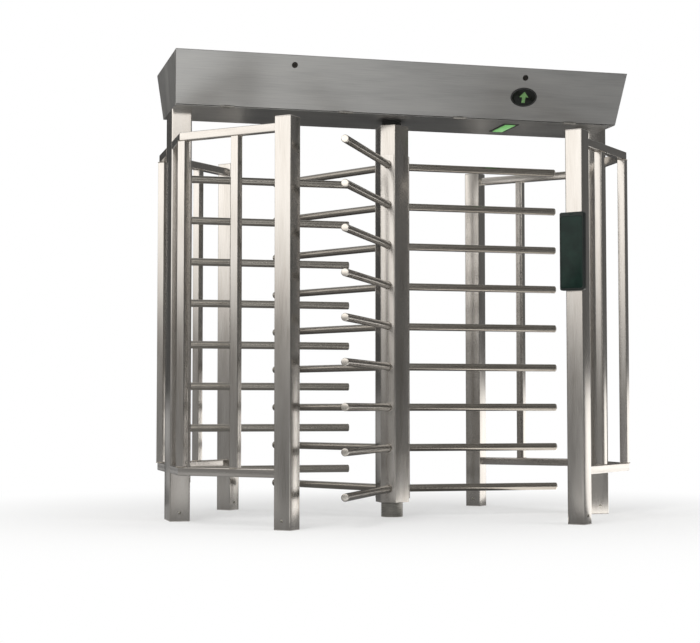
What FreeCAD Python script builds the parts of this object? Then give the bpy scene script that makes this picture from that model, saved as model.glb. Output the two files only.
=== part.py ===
"""Full height turnstile: three-wing rotor, fixed comb, two side cages, four guard posts and a hood."""
import FreeCAD, Part
import math
import os

# Overall sizes, in millimetres. The origin is on the floor on the rotor axis, +X along the hood,
# -Y towards the entry side and +Z up.
TOTAL_HEIGHT = 2280.0
HOOD_HEIGHT = 250.0
HOOD_LENGTH = 2310.0
HOOD_DEPTH = 430.0
HOOD_END_FLARE = 17.0
HOOD_FACE_FLARE = 120.0
SHEET = 2.5
PANEL_GAP = 0.5
OVERCUT = 1.0

# Posts
TALL_POST_WIDTH = 100.0
TALL_POST_DEPTH = 190.0
POST_WALL = 4.0
GUARD_POST_SIZE = 88.0
GUARD_POST_HEIGHT = 1895.0
GUARD_POST_X = 715.0
GUARD_POST_Y = 750.0
POST_CAP = 5.0
CAP_PLUG = 20.0
SHOE_PLATE = 10.0
SHOE_HEIGHT = 70.0
SHOE_WALL = 5.0
TALL_ANCHOR_HOLE = 14.0
TALL_ANCHOR_SPACING_X = 44.0
TALL_ANCHOR_SPACING_Y = 120.0
GUARD_ANCHOR_COUNT = 4
GUARD_ANCHOR_HOLE = 11.0
GUARD_ANCHOR_PCD = 46.0
POST_SCREW = 8.0
POST_SCREW_HEIGHT = 42.0
SCREW_HEAD_DIAMETER = 14.0
SCREW_HEAD_HEIGHT = 3.6
HOOD_BOLT_EDGE_X = 25.0
HOOD_BOLT_EDGE_Y = 47.5

# Side cages
RAIL_DEPTH = 40.0
RAIL_HEIGHT = 40.0
RAIL_WALL = 3.0
TOP_RAIL_Z = 1848.0
BOTTOM_RAIL_Z = 255.0
CAGE_CORNER_INSET = 20.0
CAGE_CORNER_Y = 345.0
BAR_SIZE = 40.0
BAR_WALL = 2.5
MID_BAR_FROM_POST = 280.0

# Fixed comb
STILE_THICK = 12.0
STILE_WIDTH = 60.0
STILE_MARGIN = 60.0
STILE_BOLT_ROWS = (1, 3, 5, 7)
ARM_DIAMETER = 38.0
ARM_WALL = 2.5
COMB_FREE_END = 230.0
COMB_COUNT = 8

# Rotor
WING_COUNT = 3
ARM_COUNT = 9
ARM_PITCH = 207.0
TOP_ARM_Z = 1800.0
WING_RADIUS = 900.0
ARM_CAP = 6.0
COLUMN_NARROW_DISTANCE = 80.0
COLUMN_NARROW_WIDTH = 76.0
COLUMN_WALL = 4.0
COLUMN_BOTTOM = 75.0
COLUMN_HOOD_GAP = 25.0
COLUMN_END_PLATE = 8.0
WING_PLATE_THICK = 6.0
WING_PLATE_WIDTH = 68.0
WING_PLATE_MARGIN = 50.0
SHAFT_DIAMETER = 40.0
SPINDLE_DIAMETER = 30.0
RUNNING_CLEARANCE = 0.05
FREE_CLEARANCE = 0.6

# Floor pivot
PIVOT_BASE_DIAMETER = 110.0
PIVOT_FLOOR = 12.0
PIVOT_GAP = 4.0
PIVOT_WELL_GAP = 4.0
PIVOT_BOLT_PCD = 82.0
PIVOT_BOLT_HOLE = 11.0
PIVOT_BOLT_SEAT = 18.0
PIVOT_BOLT_COUNT = 4
PIVOT_BEARING_OUTER = 52.0
PIVOT_BEARING_HEIGHT = 20.0
PIVOT_BEARING_Z = 34.0
SPINDLE_TIP_Z = 22.0

# Hood structure
BEAM_SIZE = 60.0
BEAM_WALL = 3.0
BEAM_Y = 150.0
CENTRE_CROSS_X = 180.0
RIB_SHEET = 3.0
RIB_X = (300.0, 1100.0)
RIB_FRAME = 40.0
COVER_LIP = 18.0
SEAL_DIAMETER = 100.0
SEAL_GAP = 3.0
HOOD_SCREW_HEAD = 16.0

# Mechanism on the plate above the beams
PLATE_THICK = 8.0
PLATE_LENGTH = 460.0
PLATE_DEPTH = 360.0
HOUSING_DIAMETER = 116.0
HOUSING_HEIGHT = 28.0
HOUSING_BOLT_PCD = 98.0
HOUSING_BOLT_COUNT = 4
HOUSING_BORE_GAP = 10.0
HUB_WALL = 12.0
TOP_BEARING_DIAMETER = 80.0
TOP_BEARING_HEIGHT = 20.0
BEARING_LIP = 4.0
LOCK_DISC_DIAMETER = 180.0
LOCK_DISC_THICK = 12.0
LOCK_DISC_RISE = 40.0
NOTCH_COUNT = 12
NOTCH_WIDTH = 24.0
NOTCH_DEPTH = 13.0
PAWL_THICK = 10.0
PAWL_OFFSET = 17.0
PAWL_ARM = 80.0
PAWL_TAIL = 62.0
PAWL_WIDTH = 14.0
PAWL_TOOTH_WIDTH = 14.0
PAWL_TOOTH_GAP = 2.0
PAWL_RAMP_START = 3.0
PAWL_RAMP_END = 2.0
PAWL_PIN = 12.0
PAWL_BOSS_WALL = 5.4
PIN_COLLAR = 3.6
PIN_CLIP = 2.0
PIN_SPARE = 12.8
SOLENOID_LENGTH = 50.0
SOLENOID_SIZE = 40.0
PLUNGER_DIAMETER = 10.0
PLUNGER_NOSE_GAP = 0.9
PLUNGER_OUT = 14.0
PLUNGER_NOSE = 6.0
END_GAP = 2.0
SPRING_WIRE = 1.6
SPRING_PITCH = 2.4
SPRING_TURNS = 4
SPRING_GAP = 1.6
GEAR_MODULE = 4.0
GEAR_TEETH = 40
PINION_TEETH = 12
GEAR_THICK = 16.0
GEAR_RISE = 66.0
GEAR_BACKLASH = 0.3
PRESSURE_ANGLE = 20.0
TOOTH_ADDENDUM = 0.8
TOOTH_DEDENDUM = 1.15
FLANK_STEPS = 4
DAMPER_DIAMETER = 60.0
DAMPER_HEIGHT = 34.0
DAMPER_SHAFT = 12.0
SHAFT_TOP_MARGIN = 12.0

# Cover hinges, locks, indicator, lamp and reader
HINGE_X = (-900.0, -300.0, 300.0, 900.0)
HINGE_LENGTH = 30.0
HINGE_SIDE_LENGTH = 20.0
HINGE_RADIUS = 6.0
HINGE_PIN = 5.0
HINGE_LEAF = 2.5
HINGE_RISE = 1.0
FIXED_LEAF_LENGTH = 30.0
MOVING_LEAF_LENGTH = 24.0
HINGE_SIDE_GAP = 1.0
HINGE_NOTCH_GAP = 2.0
COVER_EDGE_GAP = 4.0
SOFFIT_EDGE_GAP = 7.0
LOCK_X = (-583.0, 621.0)
LOCK_DROP = 46.0
LOCK_BARREL = 18.0
LOCK_FLANGE = 30.0
LOCK_FLANGE_THICK = 3.0
LOCK_DEPTH = 22.0
LOCK_PLUG = 12.0
KEYWAY_LENGTH = 8.0
KEYWAY_WIDTH = 2.0
KEYWAY_DEPTH = 2.0
TONGUE_LENGTH = 28.0
TONGUE_WIDTH = 14.0
TONGUE_THICK = 3.0
KEEPER_LAP = 10.0
KEEPER_GAP = 1.5
INDICATOR_X = 627.0
INDICATOR_DROP = 137.0
INDICATOR_WIDTH = 142.0
INDICATOR_HEIGHT = 100.0
INDICATOR_RIM = 8.0
INDICATOR_PROUD = 5.0
INDICATOR_DEPTH = 20.0
SLEEVE_WALL = 2.0
LENS_PROUD = 2.5
LENS_BACK = 5.0
LAMP_X = 617.0
LAMP_LENGTH = 232.0
LAMP_WIDTH = 84.0
LAMP_RIM = 7.0
LAMP_DEPTH = 22.0
LAMP_RIM_THICK = 2.5
LAMP_LENS_PROUD = 5.0
LAMP_LENS_BACK = 2.5
READER_WIDTH = 124.0
READER_BOTTOM = 1115.0
READER_TOP = 1490.0
READER_THICK = 30.0
READER_WALL = 3.0
READER_CORNER = 10.0
READER_CHIN = 20.0
READER_FOOT = 4.0
READER_RIM = 6.0
CONTROL_LENGTH = 280.0
CONTROL_HEIGHT = 95.0
CONTROL_X = 470.0
CONTROL_SEAT = 15.0
CONTROL_WALL = 2.0

# Sizes worked out from the values above
UNDERSIDE = TOTAL_HEIGHT - HOOD_HEIGHT
COLUMN_TOP = UNDERSIDE - COLUMN_HOOD_GAP
LOCK_Z = TOTAL_HEIGHT - LOCK_DROP
INDICATOR_Z = TOTAL_HEIGHT - INDICATOR_DROP
TALL_POST_X = (HOOD_LENGTH - TALL_POST_WIDTH) / 2
CORNER_X = HOOD_LENGTH / 2 - CAGE_CORNER_INSET
DIAGONAL_X = CORNER_X - GUARD_POST_X
DIAGONAL_Y = GUARD_POST_Y - CAGE_CORNER_Y
DIAGONAL_ANGLE = math.degrees(math.atan2(DIAGONAL_Y, DIAGONAL_X))
DIAGONAL_LENGTH = math.hypot(DIAGONAL_X, DIAGONAL_Y)
FACE_ANGLE = math.degrees(math.atan2(HOOD_HEIGHT, -HOOD_FACE_FLARE))
SHEET_Y = SHEET / math.sin(math.radians(FACE_ANGLE))
BEAM_TOP = UNDERSIDE + SHEET + BEAM_SIZE
DECK = BEAM_TOP + PLATE_THICK
LOCK_DISC_Z = DECK + LOCK_DISC_RISE
GEAR_Z = DECK + GEAR_RISE
GEAR_CENTRES = GEAR_MODULE * (GEAR_TEETH + PINION_TEETH) / 2
PAWL_X = LOCK_DISC_DIAMETER / 2 + PAWL_OFFSET
COLUMN_WIDE_DISTANCE = (COLUMN_NARROW_DISTANCE * math.cos(math.pi / WING_COUNT)
                        + COLUMN_NARROW_WIDTH / 2 * math.sin(math.pi / WING_COUNT))
ARM_START = COLUMN_NARROW_DISTANCE + WING_PLATE_THICK
HINGE_Z = UNDERSIDE + HINGE_RISE
HINGE_Y = -HOOD_DEPTH / 2 - HOOD_FACE_FLARE / HOOD_HEIGHT * HINGE_RISE
CORNERS = ((-1, -1), (1, -1), (-1, 1), (1, 1))
UP = FreeCAD.Vector(0, 0, 1)


def vector(x, y, z=0.0):
    return FreeCAD.Vector(x, y, z)


def box(x0, x1, y0, y1, z0, z1):
    return Part.makeBox(x1 - x0, y1 - y0, z1 - z0, vector(x0, y0, z0))


def rod(diameter, start, end):
    """Round bar between two points."""
    axis = end - start
    return Part.makeCylinder(diameter / 2, axis.Length, start, axis)


def upright(diameter, x, y, z0, z1):
    return rod(diameter, vector(x, y, z0), vector(x, y, z1))


def ring(outer, inner, x, y, z0, z1):
    return upright(outer, x, y, z0, z1).cut(upright(inner, x, y, z0, z1))


def prism(points, z0, z1):
    """Upright prism on a closed outline of (x, y) points."""
    outline = [vector(x, y, z0) for x, y in points]
    face = Part.Face(Part.makePolygon(outline + outline[:1]))
    return face.extrude(vector(0, 0, z1 - z0))


def square_tube(width, depth, wall, z0, z1):
    outer = box(-width / 2, width / 2, -depth / 2, depth / 2, z0, z1)
    inner = box(wall - width / 2, width / 2 - wall, wall - depth / 2, depth / 2 - wall, z0, z1)
    return outer.cut(inner)


def turned(shape, angle, x=0.0, y=0.0):
    """Copy turned about its own vertical axis, then moved to x, y."""
    copy = shape.copy()
    copy.Placement = FreeCAD.Placement(vector(x, y), FreeCAD.Rotation(UP, angle))
    return copy


def mirrored(shape):
    """Copy on the other side of the plane x = 0."""
    return shape.mirror(vector(0, 0), vector(1, 0))


def half_length(z):
    return HOOD_LENGTH / 2 + HOOD_END_FLARE * (z - UNDERSIDE) / HOOD_HEIGHT


def half_depth(z):
    return HOOD_DEPTH / 2 + HOOD_FACE_FLARE * (z - UNDERSIDE) / HOOD_HEIGHT


def flared_block(low, high, z0, z1):
    """Solid between a rectangle (x0, x1, y0, y1) at z0 and another at z1."""
    wires = []
    for (x0, x1, y0, y1), z in ((low, z0), (high, z1)):
        corner = [vector(x0, y0, z), vector(x1, y0, z), vector(x1, y1, z), vector(x0, y1, z)]
        wires.append(Part.makePolygon(corner + corner[:1]))
    return Part.makeLoft(wires, True, True)


def on_face(shape, x, z):
    """Part modelled with +Z outward and +Y up the slope, placed on the hood's front face."""
    copy = shape.copy()
    turn = FreeCAD.Rotation(vector(1, 0), FACE_ANGLE)
    copy.Placement = FreeCAD.Placement(vector(x, -half_depth(z), z), turn)
    return copy


def oval(width, height, z0, z1):
    edge = Part.Ellipse(vector(0, 0, z0), width / 2, height / 2).toShape()
    return Part.Face(Part.Wire([edge])).extrude(vector(0, 0, z1 - z0))


def save(name, *solids):
    """Write one node; several solids stay separate pieces in it."""
    pieces = [piece for solid in solids for piece in solid.Solids]
    shape = pieces[0] if len(pieces) == 1 else Part.makeCompound(pieces)
    shape.exportStep("parts/" + name + ".step")


def guard_place(sx, sy):
    """Centre of a guard post and the direction of the rail that leaves it."""
    return sx * GUARD_POST_X, sy * GUARD_POST_Y, math.degrees(math.atan2(-sy * DIAGONAL_Y, sx * DIAGONAL_X))


def side_name(sx, sy):
    return ("front_" if sy < 0 else "rear_") + ("left" if sx < 0 else "right")


def tall_posts():
    """Two posts that carry the hood ends, each with a drilled top plate welded inside."""
    inner_x = TALL_POST_WIDTH / 2 - POST_WALL
    inner_y = TALL_POST_DEPTH / 2 - POST_WALL
    tube = square_tube(TALL_POST_WIDTH, TALL_POST_DEPTH, POST_WALL, 0, UNDERSIDE)
    plate = box(-inner_x, inner_x, -inner_y, inner_y, UNDERSIDE - SHOE_PLATE, UNDERSIDE)
    post = tube.fuse(plate)
    for x, y in hood_bolt_places():
        post = post.cut(upright(POST_SCREW, x, y, UNDERSIDE - SHOE_PLATE - OVERCUT, UNDERSIDE + OVERCUT))
    left = drill(turned(post, 0, -TALL_POST_X), post_screw_lines(-1))
    face = TALL_POST_WIDTH / 2 - TALL_POST_X
    for z in stile_bolt_heights():
        left = left.cut(rod(POST_SCREW, vector(face - POST_WALL - OVERCUT, 0, z), vector(face + OVERCUT, 0, z)))
    save("tall_post_left", left)
    save("tall_post_right", drill(turned(post, 0, TALL_POST_X), post_screw_lines(1)))


def hood_bolt_places():
    """Bolts in each tall post's top plate, as offsets from the post's centre."""
    x = TALL_POST_WIDTH / 2 - HOOD_BOLT_EDGE_X
    y = TALL_POST_DEPTH / 2 - HOOD_BOLT_EDGE_Y
    return [(sx * x, sy * y) for sx, sy in CORNERS]


def post_screw_lines(sx):
    """Screws through the front and rear walls of a tall post into its shoe: start point and direction."""
    half = TALL_POST_DEPTH / 2
    x = sx * TALL_POST_X
    return [(vector(x, sy * half, POST_SCREW_HEIGHT), vector(0, -sy)) for sy in (-1, 1)]


def guard_screw_lines(sx, sy):
    """Screws through two opposite faces of a guard post into its shoe."""
    x, y, angle = guard_place(sx, sy)
    lines = []
    for side in (90, -90):
        out = math.radians(angle + side)
        out = vector(math.cos(out), math.sin(out))
        lines.append((vector(x, y, POST_SCREW_HEIGHT) + out * (GUARD_POST_SIZE / 2), out * -1))
    return lines


def drill(shape, lines):
    """Cut the screw holes that start on an outer face and run through wall and shoe."""
    for start, inward in lines:
        shape = shape.cut(rod(POST_SCREW, start - inward, start + inward * (POST_WALL + SHOE_WALL + OVERCUT)))
    return shape


def guard_posts():
    """Four square posts at the corners of the two mouths, faced to the cage's diagonals."""
    tube = square_tube(GUARD_POST_SIZE, GUARD_POST_SIZE, POST_WALL, 0, GUARD_POST_HEIGHT - POST_CAP)
    half = GUARD_POST_SIZE / 2
    inner = half - POST_WALL
    cap_top = GUARD_POST_HEIGHT
    cap = box(-half, half, -half, half, cap_top - POST_CAP, cap_top)
    cap = cap.fuse(box(-inner, inner, -inner, inner, cap_top - POST_CAP - CAP_PLUG, cap_top - POST_CAP))
    caps = []
    for sx, sy in CORNERS:
        x, y, angle = guard_place(sx, sy)
        post = drill(turned(tube, angle, x, y), guard_screw_lines(sx, sy))
        for face, out in rail_bolt_lines(sx, sy):
            post = post.cut(rod(POST_SCREW, face + out, face - out * (POST_WALL + OVERCUT)))
        save("guard_post_" + side_name(sx, sy), post)
        caps.append(turned(cap, angle, x, y))
    save("guard_post_caps", *caps)


def post_shoes():
    """Anchor plate with an upstand inside the foot of each of the six posts."""
    inner_x = TALL_POST_WIDTH - 2 * POST_WALL
    inner_y = TALL_POST_DEPTH - 2 * POST_WALL
    tall = square_tube(inner_x, inner_y, SHOE_WALL, 0, SHOE_HEIGHT)
    tall = tall.fuse(box(-inner_x / 2, inner_x / 2, -inner_y / 2, inner_y / 2, 0, SHOE_PLATE))
    for sx, sy in CORNERS:
        x = sx * TALL_ANCHOR_SPACING_X / 2
        y = sy * TALL_ANCHOR_SPACING_Y / 2
        tall = tall.cut(upright(TALL_ANCHOR_HOLE, x, y, -OVERCUT, SHOE_PLATE + OVERCUT))
    shoes = [drill(turned(tall, 0, sx * TALL_POST_X), post_screw_lines(sx)) for sx in (-1, 1)]
    inner = GUARD_POST_SIZE - 2 * POST_WALL
    small = square_tube(inner, inner, SHOE_WALL, 0, SHOE_HEIGHT)
    small = small.fuse(box(-inner / 2, inner / 2, -inner / 2, inner / 2, 0, SHOE_PLATE))
    r = GUARD_ANCHOR_PCD / 2
    for turn in range(GUARD_ANCHOR_COUNT):
        a = math.radians(45 + turn * 360 / GUARD_ANCHOR_COUNT)
        x, y = r * math.cos(a), r * math.sin(a)
        small = small.cut(upright(GUARD_ANCHOR_HOLE, x, y, -OVERCUT, SHOE_PLATE + OVERCUT))
    for sx, sy in CORNERS:
        x, y, angle = guard_place(sx, sy)
        shoes.append(drill(turned(small, angle, x, y), guard_screw_lines(sx, sy)))
    save("post_shoes", *shoes)


def rail_outline(depth, over):
    """Outline points of a diagonal and of a straight rail in the front right quarter, at a given depth.

    over lengthens the free ends, for the bore of the tube."""
    half = depth / 2
    along = vector(DIAGONAL_X, DIAGONAL_Y).normalize()
    out = vector(along.y, -along.x)
    corner = vector(CORNER_X, -CAGE_CORNER_Y)
    start = vector(GUARD_POST_X, -GUARD_POST_Y) + along * (GUARD_POST_SIZE / 2 - over)
    bisector = (out + vector(1, 0)).normalize()
    mitre = bisector * (half / bisector.x)
    diagonal = [start - out * half, start + out * half, corner + mitre, corner - mitre]
    end_y = -TALL_POST_DEPTH / 2 + over
    straight = [corner + mitre, corner - mitre, vector(CORNER_X - half, end_y), vector(CORNER_X + half, end_y)]
    return [[(point.x, point.y) for point in outline] for outline in (diagonal, straight)]


def cage_rails():
    """Top and bottom rail of each cage: mitred square tubes between the posts."""
    rails = []
    for z in (TOP_RAIL_Z, BOTTOM_RAIL_Z):
        z0 = z - RAIL_HEIGHT / 2
        outer = rail_outline(RAIL_DEPTH, 0)
        inner = rail_outline(RAIL_DEPTH - 2 * RAIL_WALL, 1)
        for solid, bore in zip(outer, inner):
            tube = prism(solid, z0, z0 + RAIL_HEIGHT)
            rails.append(tube.cut(prism(bore, z0 + RAIL_WALL, z0 + RAIL_HEIGHT - RAIL_WALL)))
    rails += [rail.mirror(vector(0, 0), vector(0, 1)) for rail in rails]
    plugs = [solid for z in (TOP_RAIL_Z, BOTTOM_RAIL_Z) for solid in rail_plugs(z)]
    save("right_cage_rails", *rails, *plugs)
    save("left_cage_rails", *[mirrored(piece) for piece in rails + plugs])


def rail_plugs(z):
    """Threaded blocks welded in the rail ends that meet a guard post."""
    depth = RAIL_DEPTH - 2 * RAIL_WALL
    height = RAIL_HEIGHT - 2 * RAIL_WALL
    start = GUARD_POST_SIZE / 2
    block = box(start, start + CAP_PLUG, -depth / 2, depth / 2, z - height / 2, z + height / 2)
    block = block.cut(rod(POST_SCREW, vector(start - OVERCUT, 0, z), vector(start + CAP_PLUG + OVERCUT, 0, z)))
    plugs = []
    for sy in (-1, 1):
        x, y, angle = guard_place(1, sy)
        plugs.append(turned(block, angle, x, y))
    return plugs


def rail_bolt_lines(sx, sy):
    """Bolt under each rail end, from the inside of the guard post into the rail's plug."""
    x, y, angle = guard_place(sx, sy)
    out = math.radians(angle)
    out = vector(math.cos(out), math.sin(out))
    face = vector(x, y) + out * (GUARD_POST_SIZE / 2)
    return [(face + UP * z, out) for z in (TOP_RAIL_Z, BOTTOM_RAIL_Z)]


def cage_bars():
    """Upright square tubes between the rails: one on each corner and one along each diagonal."""
    z0 = BOTTOM_RAIL_Z + RAIL_HEIGHT / 2
    z1 = TOP_RAIL_Z - RAIL_HEIGHT / 2
    tube = square_tube(BAR_SIZE, BAR_SIZE, BAR_WALL, z0, z1)
    bars = []
    for sx, sy in CORNERS:
        x, y, angle = guard_place(sx, sy)
        for distance in (MID_BAR_FROM_POST, DIAGONAL_LENGTH):
            a = math.radians(angle)
            bars.append(turned(tube, angle, x + distance * math.cos(a), y + distance * math.sin(a)))
    save("cage_bars", *bars)


def comb():
    """Flat stile bolted to the left tall post, and eight closed bars that reach towards the column."""
    face = TALL_POST_WIDTH / 2 - TALL_POST_X
    x0 = face + STILE_THICK
    heights = [TOP_ARM_Z - ARM_PITCH * (row + 0.5) for row in range(COMB_COUNT)]
    half = STILE_WIDTH / 2
    stile = box(face, x0, -half, half, heights[-1] - STILE_MARGIN, heights[0] + STILE_MARGIN)
    for z in stile_bolt_heights():
        stile = stile.cut(rod(POST_SCREW, vector(face - OVERCUT, 0, z), vector(x0 + OVERCUT, 0, z)))
    save("comb_stile", stile)
    bars = []
    for z in heights:
        bar = rod(ARM_DIAMETER, vector(x0, 0, z), vector(-COMB_FREE_END, 0, z))
        bore_end = vector(-COMB_FREE_END - ARM_CAP, 0, z)
        bore = rod(ARM_DIAMETER - 2 * ARM_WALL, vector(x0 - OVERCUT, 0, z), bore_end)
        bars.append(bar.cut(bore))
    save("comb_bars", *bars)


def stile_bolt_heights():
    """Bolts sit midway between bars, so that a key reaches them."""
    return [TOP_ARM_Z - ARM_PITCH * row for row in STILE_BOLT_ROWS]


def bolt(start, inward, shank):
    """Bolt with its head on the face at start, and its shank running inward."""
    body = rod(POST_SCREW, start, start + inward * shank)
    return body.fuse(rod(SCREW_HEAD_DIAMETER, start - inward * SCREW_HEAD_HEIGHT, start))


def housing_bolt_places():
    """Seats of the bolts that hold the bearing housing on its plate."""
    places = []
    radius = HOUSING_BOLT_PCD / 2
    for turn in range(HOUSING_BOLT_COUNT):
        a = math.radians(45 + turn * 360 / HOUSING_BOLT_COUNT)
        places.append(vector(radius * math.cos(a), radius * math.sin(a), DECK + HOUSING_HEIGHT))
    return places


def frame_bolts():
    """Post, rail, comb, hood and bearing bolts, all of one size with low button heads."""
    bolts = []
    for sx in (-1, 1):
        lines = post_screw_lines(sx)
        bolts += [bolt(start, inward, POST_WALL + SHOE_WALL) for start, inward in lines]
        for x, y in hood_bolt_places():
            top = vector(sx * TALL_POST_X + x, y, UNDERSIDE + SHEET)
            bolts.append(bolt(top, UP * -1, SHEET + SHOE_PLATE))
    for sx, sy in CORNERS:
        lines = guard_screw_lines(sx, sy)
        bolts += [bolt(start, inward, POST_WALL + SHOE_WALL) for start, inward in lines]
        for face, out in rail_bolt_lines(sx, sy):
            bolts.append(bolt(face - out * POST_WALL, out, POST_WALL + CAP_PLUG))
    face = TALL_POST_WIDTH / 2 - TALL_POST_X + STILE_THICK
    for z in stile_bolt_heights():
        bolts.append(bolt(vector(face, 0, z), vector(-1, 0), STILE_THICK + POST_WALL))
    bolts += [bolt(place, UP * -1, HOUSING_HEIGHT + PLATE_THICK) for place in housing_bolt_places()]
    save("frame_bolts", *bolts)


def column_outline(inset):
    """Six-sided outline of the column: a narrow face behind each wing, a wide face between two wings."""
    step = math.radians(180 / WING_COUNT)
    x = COLUMN_NARROW_DISTANCE - inset
    y = (COLUMN_WIDE_DISTANCE - inset - x * math.cos(step)) / math.sin(step)
    points = []
    for wing in range(WING_COUNT):
        a = 2 * step * wing
        for side in (-y, y):
            points.append((x * math.cos(a) - side * math.sin(a), x * math.sin(a) + side * math.cos(a)))
    return points


def rotor():
    """Column with its shafts, wing plates, arms and arm caps."""
    bore = column_outline(COLUMN_WALL)
    column = prism(column_outline(0), COLUMN_BOTTOM, COLUMN_TOP)
    column = column.cut(prism(bore, COLUMN_BOTTOM - OVERCUT, COLUMN_TOP + OVERCUT))
    save("rotor_column", column)
    top_plate = prism(bore, COLUMN_TOP - COLUMN_END_PLATE, COLUMN_TOP)
    shaft_top = GEAR_Z + GEAR_THICK + SHAFT_TOP_MARGIN
    save("rotor_shaft", top_plate.fuse(upright(SHAFT_DIAMETER, 0, 0, COLUMN_TOP - COLUMN_END_PLATE, shaft_top)))
    foot = prism(bore, COLUMN_BOTTOM, COLUMN_BOTTOM + COLUMN_END_PLATE)
    spindle_top = COLUMN_BOTTOM + COLUMN_END_PLATE
    save("pivot_spindle", foot.fuse(upright(SPINDLE_DIAMETER, 0, 0, SPINDLE_TIP_Z, spindle_top)))
    heights = [TOP_ARM_Z - ARM_PITCH * row for row in range(ARM_COUNT)]
    plate = box(COLUMN_NARROW_DISTANCE, ARM_START, -WING_PLATE_WIDTH / 2, WING_PLATE_WIDTH / 2,
                heights[-1] - WING_PLATE_MARGIN, heights[0] + WING_PLATE_MARGIN)
    arms = []
    caps = []
    bore = ARM_DIAMETER - 2 * ARM_WALL
    over = vector(OVERCUT, 0)
    for z in heights:
        start = vector(ARM_START, 0, z)
        end = vector(WING_RADIUS - ARM_CAP, 0, z)
        arms.append(rod(ARM_DIAMETER, start, end).cut(rod(bore, start - over, end + over)))
        cap = rod(ARM_DIAMETER, end, end + vector(ARM_CAP, 0))
        caps.append(cap.fuse(rod(bore, end - vector(CAP_PLUG, 0), end)))
    angles = [wing * 360 / WING_COUNT for wing in range(WING_COUNT)]
    for letter, angle in zip("abc", angles):
        save("wing_" + letter + "_arms", *[turned(arm, angle) for arm in arms])
    save("arm_caps", *[turned(cap, angle) for angle in angles for cap in caps])
    save("wing_plates", *[turned(plate, angle) for angle in angles])


def floor_pivot():
    """Round base with counterbored anchor holes, and the bearing ring that carries the spindle."""
    top = COLUMN_BOTTOM - PIVOT_GAP
    base = upright(PIVOT_BASE_DIAMETER, 0, 0, 0, top)
    seat_top = PIVOT_BEARING_Z + PIVOT_BEARING_HEIGHT
    base = base.cut(upright(PIVOT_BEARING_OUTER, 0, 0, PIVOT_BEARING_Z, top + OVERCUT))
    base = base.cut(upright(SPINDLE_DIAMETER + 2 * PIVOT_WELL_GAP, 0, 0, PIVOT_FLOOR, seat_top))
    for turn in range(PIVOT_BOLT_COUNT):
        a = math.radians(45 + turn * 360 / PIVOT_BOLT_COUNT)
        x = PIVOT_BOLT_PCD / 2 * math.cos(a)
        y = PIVOT_BOLT_PCD / 2 * math.sin(a)
        base = base.cut(upright(PIVOT_BOLT_HOLE, x, y, -OVERCUT, PIVOT_FLOOR + OVERCUT))
        base = base.cut(upright(PIVOT_BOLT_SEAT, x, y, PIVOT_FLOOR, top + OVERCUT))
    save("pivot_base", base)
    bore = SPINDLE_DIAMETER + 2 * RUNNING_CLEARANCE
    save("pivot_bearing", ring(PIVOT_BEARING_OUTER, bore, 0, 0, PIVOT_BEARING_Z, seat_top))


def slope_rect(z, left, right, front, rear):
    """Rectangle of the hood at height z with each side moved inward by the given amounts."""
    return (left - half_length(z), half_length(z) - right, front - half_depth(z), half_depth(z) - rear)


def hood_panels():
    """Fixed sheet panels of the hood: soffit, rear, top and the two ends."""
    z0 = UNDERSIDE
    z1 = TOTAL_HEIGHT - SHEET
    top = flared_block(slope_rect(z1, 0, 0, 0, 0), slope_rect(TOTAL_HEIGHT, 0, 0, 0, 0), z1, TOTAL_HEIGHT)
    low = slope_rect(z0, 0, 0, 0, 0)
    high = slope_rect(z1, 0, 0, 0, 0)
    rear_low = (low[0], low[1], low[3] - SHEET_Y, low[3])
    rear_high = (high[0], high[1], high[3] - SHEET_Y, high[3])
    rear = flared_block(rear_low, rear_high, z0, z1)
    inset = SHEET_Y + PANEL_GAP
    ends = []
    for sx in (-1, 1):
        rects = []
        for z in (z0, z1):
            x = sorted((sx * half_length(z), sx * (half_length(z) - SHEET)))
            rects.append((x[0], x[1], inset - half_depth(z), half_depth(z) - SHEET_Y))
        ends.append(flared_block(rects[0], rects[1], z0, z1))
    edge = HOOD_LENGTH / 2 - SHEET
    soffit = box(-edge, edge, SOFFIT_EDGE_GAP - HOOD_DEPTH / 2, HOOD_DEPTH / 2 - SHEET_Y, z0, z0 + SHEET)
    below = z0 - OVERCUT
    above = z0 + SHEET + OVERCUT
    soffit = soffit.cut(upright(SHAFT_DIAMETER + 4 * FREE_CLEARANCE, 0, 0, below, above))
    half_x = LAMP_WIDTH / 2 - LAMP_RIM
    half_y = LAMP_LENGTH / 2 - LAMP_RIM
    soffit = soffit.cut(box(LAMP_X - half_x, LAMP_X + half_x, -half_y, half_y, below, above))
    for sx in (-1, 1):
        for x, y in hood_bolt_places():
            soffit = soffit.cut(upright(POST_SCREW, sx * TALL_POST_X + x, y, below, above))
    screws = []
    for x in RIB_X:
        for sx in (-1, 1):
            for y in (RIB_FRAME - half_depth(z1) + COVER_LIP, half_depth(z1) - RIB_FRAME):
                place = vector(sx * x, y, TOTAL_HEIGHT)
                screws.append(rod(HOOD_SCREW_HEAD, place - UP * SHEET, place))
                top = top.cut(screws[-1])
    save("hood_top_panel", top)
    save("hood_rear_panel", rear)
    save("hood_end_panels", *ends)
    save("hood_soffit", soffit)
    save("hood_screws", *screws)


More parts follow.
